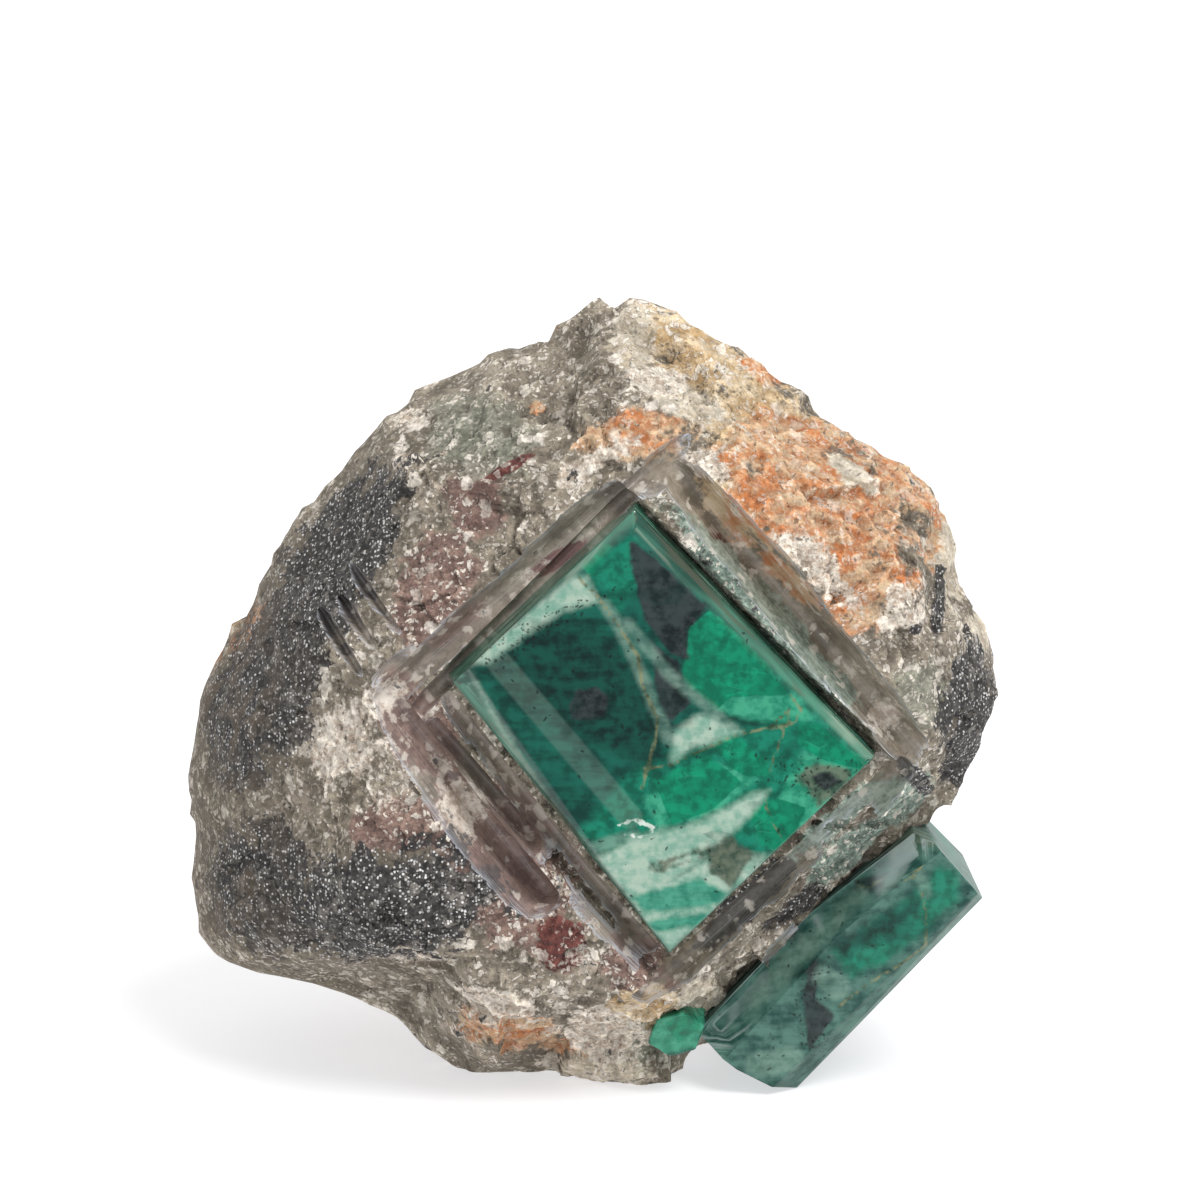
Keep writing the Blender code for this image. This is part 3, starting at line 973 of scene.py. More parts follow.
@dataclass(frozen=True)
class EmeraldFinish:
    """Emerald, either polished, ground or raw."""

    name: str
    roughness: float
    relief: float
    mirror: float = 0.10
    glow: float = 0.0
    walls: float = 0.0
    deep_dark: Colour = (0.001, 0.034, 0.026)
    deep_light: Colour = (0.005, 0.100, 0.070)
    wall_dark: Colour = (0.010, 0.060, 0.040)
    wall_green: Colour = (0.085, 0.25, 0.170)
    wall_brown: Colour = (0.12, 0.085, 0.055)
    wall_light: Colour = (0.30, 0.38, 0.29)
    speck: Colour = (0.004, 0.007, 0.007)
    crack: Colour = (0.06, 0.40, 0.27)
    scratch: Colour = (0.44, 0.52, 0.52)
    streak_turn: float = 17.0
    facet_size: float = 2.0
    facet_turn: float = 50.0
    grit_size: float = 0.55
    raggedness: float = 4.0
    bend: float = 1.58
    glow_reach: Colour = (0.0003, 0.0014, 0.0009)

    def body_colour(self, graph: Graph, fine: Any, streaks: Any) -> Any:
        """What grew in the crystal, kind over kind, with a painted reflection laid in among them.

        Args:
            graph: The material's nodes.
            fine: Socket of the fine noise.
            streaks: Socket of the growth streaks.

        Returns:
            Socket of the colour.
        """
        broad = graph.noise(3.2, 3.0, rough=0.6)
        deep = graph.ease(graph.blend(streaks, broad, 0.35), 0.38, 0.62)
        colour = graph.mix(deep, self.deep_dark, self.deep_light)
        ragged = graph.math("SUBTRACT", graph.noise(2.2, 3.0, rough=0.62), 0.5)
        slanted = graph.drawn_out(self.streak_turn + self.facet_turn, 2.2)
        facets = graph.chance(graph.cells(self.facet_size, slanted))
        edges = graph.cells(self.facet_size, slanted, "DISTANCE_TO_EDGE").outputs["Distance"]
        cracked = graph.ease(broad, 0.54, 0.66, 0.0, 0.25)
        cracks = graph.math("MULTIPLY", graph.ease(edges, 0.030, 0.006), cracked)
        for vein, tone in VEIN_TONES.items():
            push = graph.math("MULTIPLY", ragged, self.raggedness * tone.ragged)
            reach = graph.math("ADD", graph.read(vein.value), push)
            mask = graph.ease(reach, -tone.soft, tone.soft, 0.0, tone.share)
            mottle = graph.blend(fine, streaks, tone.fine)
            shade = graph.mix(graph.ease(mottle, 0.36, 0.62), tone.dark, tone.light)
            if vein is Vein.BRIGHT:
                shade = graph.mix(graph.ease(facets, 0.1, 0.9, 0.0, 0.55), shade, tone.dark)
                shade = graph.mix(cracks, shade, self.crack)
            colour = graph.mix(mask, colour, shade)
        depth = graph.ease(graph.blend(facets, broad, 0.3), 0.46, 0.24, 0.0, 0.40)
        return graph.mix(depth, colour, self.deep_dark)

    def material(self) -> bpy.types.Material:
        """Emerald with what grew inside it, and a painted reflection where one is placed.

        Returns:
            The material.
        """
        graph = Graph(self.name)
        fine = graph.noise(1.3, 4.0, rough=0.55)
        streaks = graph.noise(1.0, 3.0, graph.drawn_out(self.streak_turn, 6.0))
        swirled = graph.swirled(graph.clouds(3.0, 2.0), 1.4)
        colour = self.body_colour(graph, fine, streaks)
        lanes = graph.lanes(0.45, 16.0)
        wall = graph.ease(graph.read("wall"), 0.1, 0.6, 0.0, self.walls)
        broad_lanes = graph.lanes(1.1, 22.0)
        rubbed = graph.mix(graph.ease(broad_lanes, 0.40, 0.58), self.wall_dark, self.wall_green)
        rubbed = graph.mix(graph.ease(lanes, 0.44, 0.36, 0.0, 0.5), rubbed, self.wall_brown)
        rubbed = graph.mix(graph.ease(lanes, 0.54, 0.64, 0.0, 0.8), rubbed, self.wall_light)
        colour = graph.mix(wall, colour, rubbed)
        grit = graph.cells(self.grit_size, swirled)
        peppered = graph.ease(graph.read(Vein.PEPPER.value), -0.8, 1.0, 0.03, 0.75)
        black = graph.math("LESS_THAN", graph.chance(grit), peppered)
        black = graph.math("MULTIPLY", black, graph.ease(grit.outputs["Distance"], 0.46, 0.2))
        colour = graph.mix(graph.math("MULTIPLY", black, 0.75), colour, self.speck)
        cove = graph.read("cove")
        wear_and_crease_shade = graph.math("MULTIPLY", cove, graph.ease(lanes, 0.48, 0.66, 0.0, 0.5))
        colour = graph.mix(wear_and_crease_shade, colour, self.scratch)
        rough = graph.math("ADD", fine, cove)
        rough = graph.ease(rough, 0.3, 1.4, self.roughness, self.roughness + 0.28)
        return graph.finish(
            colour,
            rough,
            IOR=self.bend,
            Specular_IOR_Level=self.mirror,
            Subsurface_Weight=self.glow,
            Subsurface_Radius=self.glow_reach,
            Subsurface_Scale=1.0,
            Normal=graph.bump(fine, self.relief, 0.6),
        )


class HostRock:
    """The rock, with its channels ground in."""

    MIDDLE = Vector((-2.0, 0.0, 46.0))
    FACE_BLEND = 1.1
    GRAZING = 0.05
    BALL_STEPS = 6
    FINER_FRONTS = (-0.10, -0.30)
    GRAIN_SIZE = 1.6
    GRAIN_HEIGHT = 0.22
    RECESS_EDGE = 1.2
    RECESS_FLAKES = 0.6
    RECESS_FLAKES_FINER = 1.7
    NOTCH_SIDES = 28
    FLOOR_BOX = (160.0, 120.0, 40.0)
    CHIP_ROOM = 6.0
    EDGE_REACH = 9.0
    EDGE_WIDTH = 0.30
    SHARP_ANGLE = math.radians(38)
    RIM = (
        (0.4, -3.0, 96.6, 26, 28),
        (2.2, -4.0, 95.9, 26, 28),
        (4.4, -3.0, 96.8, 26, 28),
        (8.3, -4.0, 95.4, 26, 30),
        (16.5, -6.0, 91.8, 26, 28),
        (24.4, -8.0, 86.6, 26, 26),
        (33.0, -8.0, 80.3, 26, 26),
        (41.0, -8.0, 74.1, 24, 28),
        (44.2, -7.0, 66.9, 22, 30),
        (44.9, -6.0, 62.3, 22, 34),
        (47.5, -5.0, 56.4, 22, 34),
        (49.0, -4.0, 47.9, 20, 34),
        (47.7, -4.0, 41.5, 18, 32),
        (43.6, -2.0, 32.9, 12, 32),
        (35.0, -3.0, 23.6, 8, 34),
        (17.6, -4.0, 4.6, 8, 24),
        (9.6, -4.0, -4.6, 24, 12),
        (-16.3, -4.0, -2.6, 34, 12),
        (-22.6, -1.0, 1.2, 34, 28),
        (-25.8, 0.0, 4.3, 34, 36),
        (-33.9, 1.0, 8.3, 32, 36),
        (-44.0, 2.0, 10.4, 28, 34),
        (-47.8, 3.0, 11.6, 26, 34),
        (-50.7, 4.0, 15.5, 24, 32),
        (-51.6, 5.0, 21.1, 22, 30),
        (-50.6, 6.0, 27.3, 20, 28),
        (-51.8, 6.0, 35.0, 20, 28),
        (-49.7, 6.0, 45.4, 20, 26),
        (-43.6, 5.0, 58.5, 20, 26),
        (-37.3, 4.0, 68.3, 20, 28),
        (-26.6, 3.0, 81.6, 20, 30),
        (-16.7, 2.0, 87.3, 22, 30),
        (-12.3, 1.0, 90.4, 24, 28),
        (-4.3, -1.0, 92.9, 26, 28),
        (-1.8, -2.0, 95.1, 26, 28),
    )
    RIM_ALLOWANCE = 0.8
    BROAD_FACES = (
        Face("front", 0.0, -28.4, 50.0, 0, 90),
        Face("front_left", -25.0, -27.0, 55.0, 172, 50),
        Face("front_upper_left", -10.8, -27.4, 67.8, 131, 56),
        Face("front_crown", 2.0, -27.4, 80.0, 95, 46),
        Face("front_shoulder", 22.0, -29.4, 72.0, 48, 72),
        Face("front_low", 0.0, -26.5, 14.5, -92, 43),
        Face("front_low_left", -28.0, -26.0, 26.0, -135, 52),
        Face("front_right", 41.0, -24.8, 46.0, 4, 42),
        Face("front_low_right", 25.4, -23.6, 29.6, -44, 31),
        Face("back", -6.0, 31.0, 48.0, 90, -82),
        Face("back_crown", 2.0, 24.0, 80.0, 84, -48),
        Face("back_left", -34.0, 23.0, 50.0, 168, -52),
        Face("back_right", 30.0, 25.0, 46.0, -8, -56),
        Face("back_low", -4.0, 25.0, 14.0, -96, -46),
    )
    SWELLS = (
        ("shoulder_ledge", 24.0, 72.0, 10.0, 8.0, 1.6),
        ("crown_gully", -1.5, 88.0, 2.2, 6.0, -2.2),
        ("crown_left_swell", -15.0, 80.0, 8.0, 5.0, 1.2),
        ("dark_cheek", -31.0, 26.0, 9.0, 8.0, 2.0),
        ("cheek_hollow", -24.0, 40.0, 6.0, 6.0, -1.2),
        ("foot_hollow", -21.0, 9.0, 6.0, 4.0, -2.4),
    )
    FLAKES = ((13.0, 0.16, 0.07), (5.0, 0.15, 0.07))
    CRUMBS = (2.0, 0.16, 0.10)
    FLAKE_SEED = Vector((3.7, 11.2, 5.9))
    CALM_SHARE = 0.5
    CALM_X = -22.0
    CALM_WIDTH = 26.0
    RIM_CALM = 0.5
    RIM_CALM_DEPTH = 7.0
    RECESS = ((2.6, 79.8), (38.8, 42.2), (7.2, 15.6), (-24.6, 52.2))
    RECESS_DEPTH = -24.4
    CHANNELS = (
        Channel("upper_left_channel", ((-26.4, 51.0), (3.0, 77.8)), -22.8, 1.3, 34, 10, 2.0),
        Channel("upper_left_inner_channel", ((-22.0, 50.2), (3.6, 77.0)), -21.8, 0.9, 16, 2, 2.0),
        Channel(
            "upper_right_channel", ((8.0, 82.0), (16.5, 71.4), (42.4, 40.6)), -23.4, 1.6, 26, 20, 3.0
        ),
        Channel("lower_right_channel", ((37.2, 43.4), (5.2, 13.8)), -22.0, 1.7, 18, 6, 3.0),
        Channel(
            "lower_left_channel", ((-6.2, 27.2), (-15.8, 38.8), (-25.8, 52.9)), -22.6, 1.2, 32, 10, 2.4
        ),
        Channel("lower_left_inner_channel", ((-8.0, 34.2), (-20.2, 48.8)), -22.0, 0.9, 4, 2, 3.0),
        Channel("block_side_channel", ((6.6, 20.6), (-2.5, 31.2), (-18.8, 52.4)), -22.8, 0.8, 30, 2, 3.0),
        Channel("crown_overrun", ((2.0, 77.0), (11.5, 84.7)), -24.4, 0.6, 30, 30, 4.0, 3.2),
        Channel("overrun_high", ((-30.6, 66.7), (-23.6, 59.4)), -14.4, 0.3, 14, 14, 1.0, -10.6),
        Channel("overrun_middle", ((-31.6, 62.8), (-26.6, 57.2)), -15.2, 0.3, 14, 14, 1.0, -9.0),
        Channel("overrun_low", ((-34.2, 60.9), (-28.6, 54.2)), -13.6, 0.3, 14, 14, 1.0, -9.8),
        Channel("corner_overrun", ((-28.6, 53.0), (-22.4, 58.6)), -24.2, 0.6, 28, 28, 3.0),
    )
    V_CHANNEL = Channel(
        "v_channel",
        ((43.8, 36.6), (37.5, 31.9), (26.6, 22.4), (14.0, 8.0), (8.8, 1.8)),
        -13.6, 0.7, 44, 22, 3.0,
    )
    NOTCHES = (("right_notch", 42.9, 30.4, 1.9, 13), ("lower_notch", 13.4, -1.6, 3.0, 13))
    PATCHES = {
        Mineral.MICA: (
            (-32.4, 63.5, 6.4, 13.9, -28), (-26.9, 20.5, 13.9, 7.2, 10), (-41.5, 22.4, 7.4, 8.7, 0),
            (-42, 45.6, 6.8, 11.8, -15), (45.3, 43.7, 3.7, 9.7, -4), (41.2, 58.4, 0.9, 5.2, -6),
            (23.8, 19.6, 4.2, 1.5, 38), (37.9, 54.8, 1, 0.7, 20), (38, 36.6, 3.7, 1.1, -45),
            (18, 20.6, 9, 2, 43),
        ),
        Mineral.OLIVE: (
            (-38, 11, 7, 2, -20), (-46.1, 16, 6.4, 5, -30), (-48.4, 37.9, 3, 19.8, 0),
            (2.5, -3.4, 7.4, 1.2, 4), (14.5, 18, 11, 2.2, 43),
        ),
        Mineral.PALE: (
            (-31.3, 17, 6, 2.1, 4), (-31.8, 39.9, 5, 4.2, 10), (-22.2, 81.2, 2.7, 1.5, -20),
            (-24.3, 76.4, 1.1, 2.5, -10), (6.8, 85.6, 3.5, 1.5, -5), (36, 56.5, 3.2, 3.3, 0),
            (-12.6, 7.9, 5.5, 1.6, -18), (0, 4, 5.2, 3.2, -10), (-1.2, 75.1, 5.2, 1.2, 28),
            (12.3, 74.9, 3.7, 1.5, -40), (-16.2, 32.8, 2.5, 3.7, 20), (19, 59.8, 0.9, 9, 43),
            (34, 43.6, 2.4, 2, 0), (25.5, 63, 6, 2, -45), (-27, 46, 3, 1.5, 20),
            (-25.4, 14.4, 5, 1.4, -6),
        ),
        Mineral.RUST: (
            (26.2, 70.5, 13.6, 8.7, -42), (4.9, 78.7, 7.2, 3, 6), (37.1, 72.6, 5.5, 2.7, -40),
            (32.5, 60.3, 5.7, 6, 0), (-10.7, 4.2, 6.4, 3, -14), (-7.6, 82.2, 1.2, 0.9, 0),
            (-44.4, 53.3, 2.7, 6.9, -24), (19.9, 87.2, 3.2, 1.5, -35), (23.5, 60.3, 5, 1.1, -45),
            (33, 78.4, 5, 2, -40), (41.5, 66, 1.6, 5, -10), (-3, 1.6, 5, 1.4, -8),
        ),
        Mineral.OCHRE: (
            (11.1, 90, 7.7, 4, -26), (19.5, 80.2, 11, 6.4, -38), (20.3, 65, 4, 2.1, -35),
            (5, 6.8, 5, 2.7, 10), (14.6, 70.6, 2.4, 5, 42),
        ),
        Mineral.CREAM: (
            (44.3, 64.8, 3, 7.7, -12), (46.6, 53.9, 2, 6.2, -14), (-0.5, -1.3, 7.7, 2, -4),
            (12.6, 6.8, 3, 3.7, 0), (11, 82.6, 5.5, 2.2, -18), (4, 91, 3, 4, 0), (30, 74.6, 4, 1.4, -40),
        ),
        Mineral.MAUVE: (
            (-19.8, 59.4, 5.2, 7.2, -10), (-11.9, 24.8, 7.7, 11.4, 32), (5, 12.1, 5, 3.7, -40),
            (-14.8, 71.1, 3.7, 5, 0), (-22, 43, 4, 7, 38), (-24, 30, 7, 3.4, 10),
        ),
        Mineral.RED: (
            (15.1, 64.5, 0.9, 0.9, 0), (23.8, 54.6, 0.9, 0.9, 0), (-4.8, 15.7, 2.9, 3.5, 0),
            (-10.9, 74.9, 3.7, 0.7, 30), (-5, 63.5, 3.7, 1, 32),
        ),
        Mineral.GREEN: (
            (39.1, 46.7, 3.7, 4.2, 0), (-14.8, 78.7, 7.4, 5, -20), (5, 1.6, 3, 2, 0),
            (-28.8, 22.4, 7.4, 2.5, 0),
        ),
        Mineral.SAGE: (
            (30.2, 26.8, 6, 2.2, 42), (36.6, 33.4, 4.4, 3, 42), (28, 30.4, 8, 1.6, 43),
            (17.4, 60.3, 1.9, 13.6, 45), (25.4, 50.7, 1.7, 8.7, 45),
        ),
    }
    BEHIND = (-8.0, 14.0)
    CLOUDS = {
        Mineral.MICA: (Vector((4.0, 1.0, 9.0)), 26.0, 0.10),
        Mineral.RUST: (Vector((8.0, 5.0, 2.0)), 17.0, 0.16),
        Mineral.OLIVE: (Vector((1.0, 7.0, 6.0)), 21.0, 0.12),
        Mineral.PALE: (Vector((6.0, 3.0, 8.0)), 9.0, 0.26),
    }
    CLOUD_EDGE = (-0.12, 0.22)

    def broad_reaches(self, rays: np.ndarray) -> np.ndarray:
        """Distance along rays from MIDDLE to the broad faces.

        Args:
            rays: Unit rays, one a row.

        Returns:
            One column for each face.
        """
        normals = np.array([face.normal() for face in self.BROAD_FACES])
        points = np.array([(face.x, face.y, face.z) for face in self.BROAD_FACES])
        reaches = (normals * (points - np.array(self.MIDDLE))).sum(axis=1)
        along = rays @ normals.T
        return np.where(along > self.GRAZING, reaches / np.maximum(along, self.GRAZING), FAR)

    def rim_reaches(self, rays: np.ndarray) -> np.ndarray:
        """Distance along rays from MIDDLE to the faces that run from the rim.

        Args:
            rays: Unit rays, one a row.

        Returns:
            A column for the front and one for the back.
        """
        rim = np.array(self.RIM[::-1])
        rim[:, :3] -= np.array(self.MIDDLE)
        turns = np.arctan2(rim[:, 2], rim[:, 0])
        rim = np.roll(rim, -int(turns.argmin()), axis=0)
        turns = np.sort(turns)
        flat = np.hypot(rays[:, 0], rays[:, 2])
        ray_turns = np.arctan2(rays[:, 2], rays[:, 0])
        before = (np.searchsorted(turns, ray_turns) - 1) % len(rim)
        start = rim[before]
        side = rim[(before + 1) % len(rim)] - start
        ux, uz = np.cos(ray_turns), np.sin(ray_turns)
        cross = ux * side[:, 2] - uz * side[:, 0]
        out = (start[:, 0] * side[:, 2] - start[:, 2] * side[:, 0]) / cross + self.RIM_ALLOWANCE
        row = start + side * ((uz * start[:, 0] - ux * start[:, 2]) / cross)[:, None]
        found = []
        for column, sign in ((3, 1.0), (4, -1.0)):
            lean = np.radians(row[:, column])
            reach = out * np.cos(lean) - sign * row[:, 1] * np.sin(lean)
            along = flat * np.cos(lean) - sign * rays[:, 1] * np.sin(lean)
            found.append(np.where(along > self.GRAZING, reach / np.maximum(along, self.GRAZING), FAR))
        return np.stack(found, axis=1)

    def reach(self, rays: np.ndarray) -> np.ndarray:
        """Distance from MIDDLE to the rock's broken faces, blended at their edges.

        Args:
            rays: Unit rays, one a row.

        Returns:
            One distance for each ray.
        """
        hit = np.concatenate([self.broad_reaches(rays), self.rim_reaches(rays)], axis=1)
        nearest = hit.min(axis=1, keepdims=True)
        spread = np.exp((nearest - hit) / self.FACE_BLEND).sum(axis=1)
        return nearest[:, 0] - self.FACE_BLEND * np.log(spread)

    def flake(self, point: Vector, size: float, tip: float, step: float) -> float:
        """Height of one size of flake, each a tipped plane with a step.

        Args:
            point: Where.
            size: Size of a flake.
            tip: How far flakes tip.
            step: How far they step.

        Returns:
            The height.
        """
        place = point / size + self.FLAKE_SEED
        seed = noise.voronoi(place)[1][0]
        lean = noise.cell_vector(seed * 5.3) * 2.0 - Vector((1.0, 1.0, 1.0))
        return size * (tip * lean.dot(place - seed) + step * (noise.cell(seed * 9.1) - 0.5))

    def flake_height(self, point: Vector, sizes: Sequence[tuple[float, float, float]]) -> float:
        """Height of the flakes at a point, lower on the calm left side and at the rim.

        Args:
            point: Where.
            sizes: Size, tip and step of each kind of flake.

        Returns:
            The height.
        """
        height = sum(self.flake(point, *row) for row in sizes)
        share = min(1.0, max(0.0, (point.x - self.CALM_X) / self.CALM_WIDTH + 0.5))
        rim = 1.0 - self.RIM_CALM * math.exp(-((point.y / self.RIM_CALM_DEPTH) ** 2))
        return height * rim * (self.CALM_SHARE + (1.0 - self.CALM_SHARE) * share)

    def swell_height(self, point: Vector) -> float:
        """How far the named swells push the front to the viewer.

        Args:
            point: Where.

        Returns:
            The push, negative in a hollow.
        """
        if point.y > 0.0:
            return 0.0
        height = 0.0
        for _, x, z, across, up, rise in self.SWELLS:
            height += rise * math.exp(-(((point.x - x) / across) ** 2) - ((point.z - z) / up) ** 2)
        return height

    def depth_inside(self, x: float, z: float) -> float:
        """How deep a point lies inside the recess in the front view.

        Args:
            x: Across.
            z: Up.

        Returns:
            Distance to its nearest side, negative outside.
        """
        nearest = FAR
        for (ax, az), (bx, bz) in zip(self.RECESS, self.RECESS[1:] + self.RECESS[:1]):
            length = math.hypot(bx - ax, bz - az)
            nearest = min(nearest, ((bz - az) * (x - ax) - (bx - ax) * (z - az)) / length)
        return nearest

    def natural_mesh(self) -> bmesh.types.BMesh:
        """The rock before any grinding.

        Returns:
            The mesh in millimetres, finer on the front.
        """
        bm = bmesh.new()
        bmesh.ops.create_icosphere(bm, subdivisions=self.BALL_STEPS, radius=1.0)
        for limit in self.FINER_FRONTS:
            front = [edge for edge in bm.edges if max(vert.co.y for vert in edge.verts) < limit]
            bmesh.ops.subdivide_edges(bm, edges=front, cuts=1, use_grid_fill=True)
            bmesh.ops.triangulate(bm, faces=[face for face in bm.faces if len(face.verts) > 3])
        rays = np.array([vert.co.normalized() for vert in bm.verts])
        for vert, ray, reach in zip(bm.verts, rays, self.reach(rays)):
            out = Vector(ray)
            point = self.MIDDLE + out * float(reach)
            point += out * self.flake_height(point, self.FLAKES)
            point.y -= self.swell_height(point)
            inside = self.depth_inside(point.x, point.z)
            if inside > 0.0 and point.y < self.RECESS_DEPTH:
                flakes = self.flake_height(point * self.RECESS_FLAKES_FINER, self.FLAKES)
                floor = self.RECESS_DEPTH + self.RECESS_FLAKES * flakes
                point.y += (max(point.y, floor) - point.y) * min(1.0, inside / self.RECESS_EDGE)
            point += out * self.flake_height(point, (self.CRUMBS,))
            grain = noise.fractal(point / self.GRAIN_SIZE, 0.6, 2.0, 3)
            vert.co = point + out * self.GRAIN_HEIGHT * grain
        return bm

    def notch(self, name: str, x: float, z: float, radius: float, slope: float) -> bpy.types.Object:
        """Round bar that cuts a notch from front to back.

        Args:
            name: Name of the cutter.
            x: Across.
            z: Up, at depth 0.
            radius: Its radius.
            slope: Its slope down to the back in degrees.

        Returns:
            The cutter.
        """
        tip = math.radians(slope)
        axis = Vector((0.0, math.cos(tip), -math.sin(tip)))
        side = Vector((1.0, 0.0, 0.0))
        up = side.cross(axis)
        turns = [2.0 * math.pi * i / self.NOTCH_SIDES for i in range(self.NOTCH_SIDES)]
        round_bar = [(side * math.cos(turn) + up * math.sin(turn)) * radius for turn in turns]
        loops = []
        for along in (IN_FRONT, -IN_FRONT):
            centre = Vector((x, 0.0, z)) + axis * along
            loops.append([centre + spoke for spoke in round_bar])
        return add_object(name, skin(loops, GROUND_SLOT))

    def below_floor(self) -> bpy.types.Object:
        """Box that cuts the foot flat.

        Returns:
            The cutter.
        """
        bm = bmesh.new()
        bmesh.ops.create_cube(bm, size=1.0)
        bmesh.ops.scale(bm, vec=self.FLOOR_BOX, verts=bm.verts)
        bmesh.ops.translate(bm, vec=(0.0, 0.0, ORIGIN.z - self.FLOOR_BOX[2] / 2), verts=bm.verts)
        return add_object("below_floor", bm)

    def paint(self, mesh: bpy.types.Mesh) -> None:
        """Give each vertex its share of each mineral.

        Args:
            mesh: The rock's mesh.
        """
        points = millimetres(mesh)
        seen_z = points[:, 2] + points[:, 1] * math.tan(math.radians(VIEW_TILT))
        behind = smooth_step(points[:, 1], *self.BEHIND)
        for mineral in Mineral:
            weight = np.zeros(len(points))
            for row in self.PATCHES[mineral]:
                weight = np.maximum(weight, Patch(*row).weight(points[:, 0], seen_z))
            weight *= 1.0 - behind
            if mineral in self.CLOUDS:
                shift, size, level = self.CLOUDS[mineral]
                cloud = np.array([noise.noise(Vector(point) / size + shift) for point in points])
                low, high = self.CLOUD_EDGE
                weight += behind * smooth_step(cloud, level + low, level + high)
            store(mesh, mineral.value, weight)

    def mark_wheel(self, mesh: bpy.types.Mesh) -> None:
        """Note where the wheel ran: the travel across and along, and the worn edges, whose pale marks are
        partly painted highlights.

        Args:
            mesh: The rock's mesh, with ground faces on their own slot.
        """
        points = millimetres(mesh)
        paths = [channel.path for channel in (*self.CHANNELS, self.V_CHANNEL)]
        nearest, across, along = wheel_travel(points, paths)
        store(mesh, "across", across)
        store(mesh, "along", along)
        slots = [set() for _ in mesh.vertices]
        for face in mesh.polygons:
            for index in face.vertices:
                slots[index].add(face.material_index)
        rims = [index for index, found in enumerate(slots) if len(found) > 1]
        tree = KDTree(len(rims))
        for index in rims:
            tree.insert(Vector(points[index]), index)
        tree.balance()
        distance = np.full(len(points), self.EDGE_REACH)
        for index in np.flatnonzero(nearest < self.EDGE_REACH):
            distance[index] = tree.find(Vector(points[index]))[2]
        store(mesh, "edge", np.exp(-distance / self.EDGE_WIDTH))

    def build(self) -> bpy.types.Object:
        """Break, grind and dress the rock.

        Returns:
            The finished piece.
        """
        rock = add_object("host_rock_piece", self.natural_mesh())
        cutters = [channel.cutter() for channel in (*self.CHANNELS, self.V_CHANNEL)]
        cutters += [self.notch(*row) for row in self.NOTCHES]
        cutters += [self.below_floor(), add_object("chip_room", RawCrystal().solid(self.CHIP_ROOM))]
        finish = RockFinish()
        rock.data.materials.append(finish.natural())
        rock.data.materials.append(finish.ground())
        cut(rock, cutters)
        self.paint(rock.data)
        self.mark_wheel(rock.data)
        rock.data.shade_smooth()
        rock.data.set_sharp_from_angle(angle=self.SHARP_ANGLE)
        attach(rock, "root")
        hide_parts("host_rock")
        return rock


@dataclass(frozen=True)
class Figure:
    """Something inside an emerald, or a painted reflection on it, seen on its front: an outline, or a path
    with a half width.
    """

    corners: tuple[Corner, ...]
    width: float = 0.0

    def depth(self, x: np.ndarray, z: np.ndarray) -> np.ndarray:
        """How deep points lie inside the figure.

        Args:
            x: Points across.
            z: Points up.

        Returns:
            Signed distance to its edge, positive inside.
        """
        if self.width:
            return self.width - path_distance(x, z, self.corners)
        return inside_depth(x, z, self.corners)


class Emerald:
    """What the polished emerald blocks share."""

    FIGURES: dict[Vein, tuple[Figure, ...]] = {}
    OUTLINE: tuple[Corner, ...] = ((0.0, 0.0), (1.0, 1.0))
    SLOT = "polished_emerald"
    FLAT_FACING = 0.985
    SHARP_ANGLE = math.radians(20)
    OUTSIDE = -9.0
    WALL_DEPTH = 1.3
    COVE_EDGE = (2.2, 3.6)
    BEVEL_STEPS = 2

    def paint(self, mesh: bpy.types.Mesh, front: float, cove: Sequence[Corner] = ()) -> None:
        """Note what shows where inside the crystal, and where a painted reflection lies.

        Args:
            mesh: Its mesh.
            front: Depth of its flat face.
            cove: Path of a ground cove along its edge, if it has one.
        """
        points = millimetres(mesh)
        x, z = points[:, 0], points[:, 2]
        for vein in Vein:
            depth = np.full(len(points), self.OUTSIDE)
            for figure in self.FIGURES.get(vein, ()):
                depth = np.maximum(depth, figure.depth(x, z))
            store(mesh, vein.value, depth)
        store(mesh, "wall", np.clip((points[:, 1] - front) / self.WALL_DEPTH, 0.0, 1.0))
        store(mesh, "cove", 1.0 - smooth_step(path_distance(x, z, cove), *self.COVE_EDGE))
        sides = list(zip(self.OUTLINE, self.OUTLINE[1:] + self.OUTLINE[:1]))
        _, across, along = wheel_travel(points, sides)
        store(mesh, "across", across)
        store(mesh, "along", along)

    def dress(
        self, piece: bpy.types.Object, node: str, front: EmeraldFinish, side: EmeraldFinish
    ) -> None:
        """Finish the flat front and the sides, and put the piece in place of its CAD node.

        Args:
            piece: The crystal.
            node: The CAD node.
            front: Finish of the flat front.
            side: Finish of the bevel and the sides.
        """
        if not piece.data.materials:
            for finish in (front, side):
                piece.data.materials.append(finish.material())
        for face in piece.data.polygons:
            face.material_index = 0 if face.normal.y < -self.FLAT_FACING else 1
        piece.data.shade_smooth()
        piece.data.set_sharp_from_angle(angle=self.SHARP_ANGLE)
        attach(piece, "root")
        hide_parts(node)


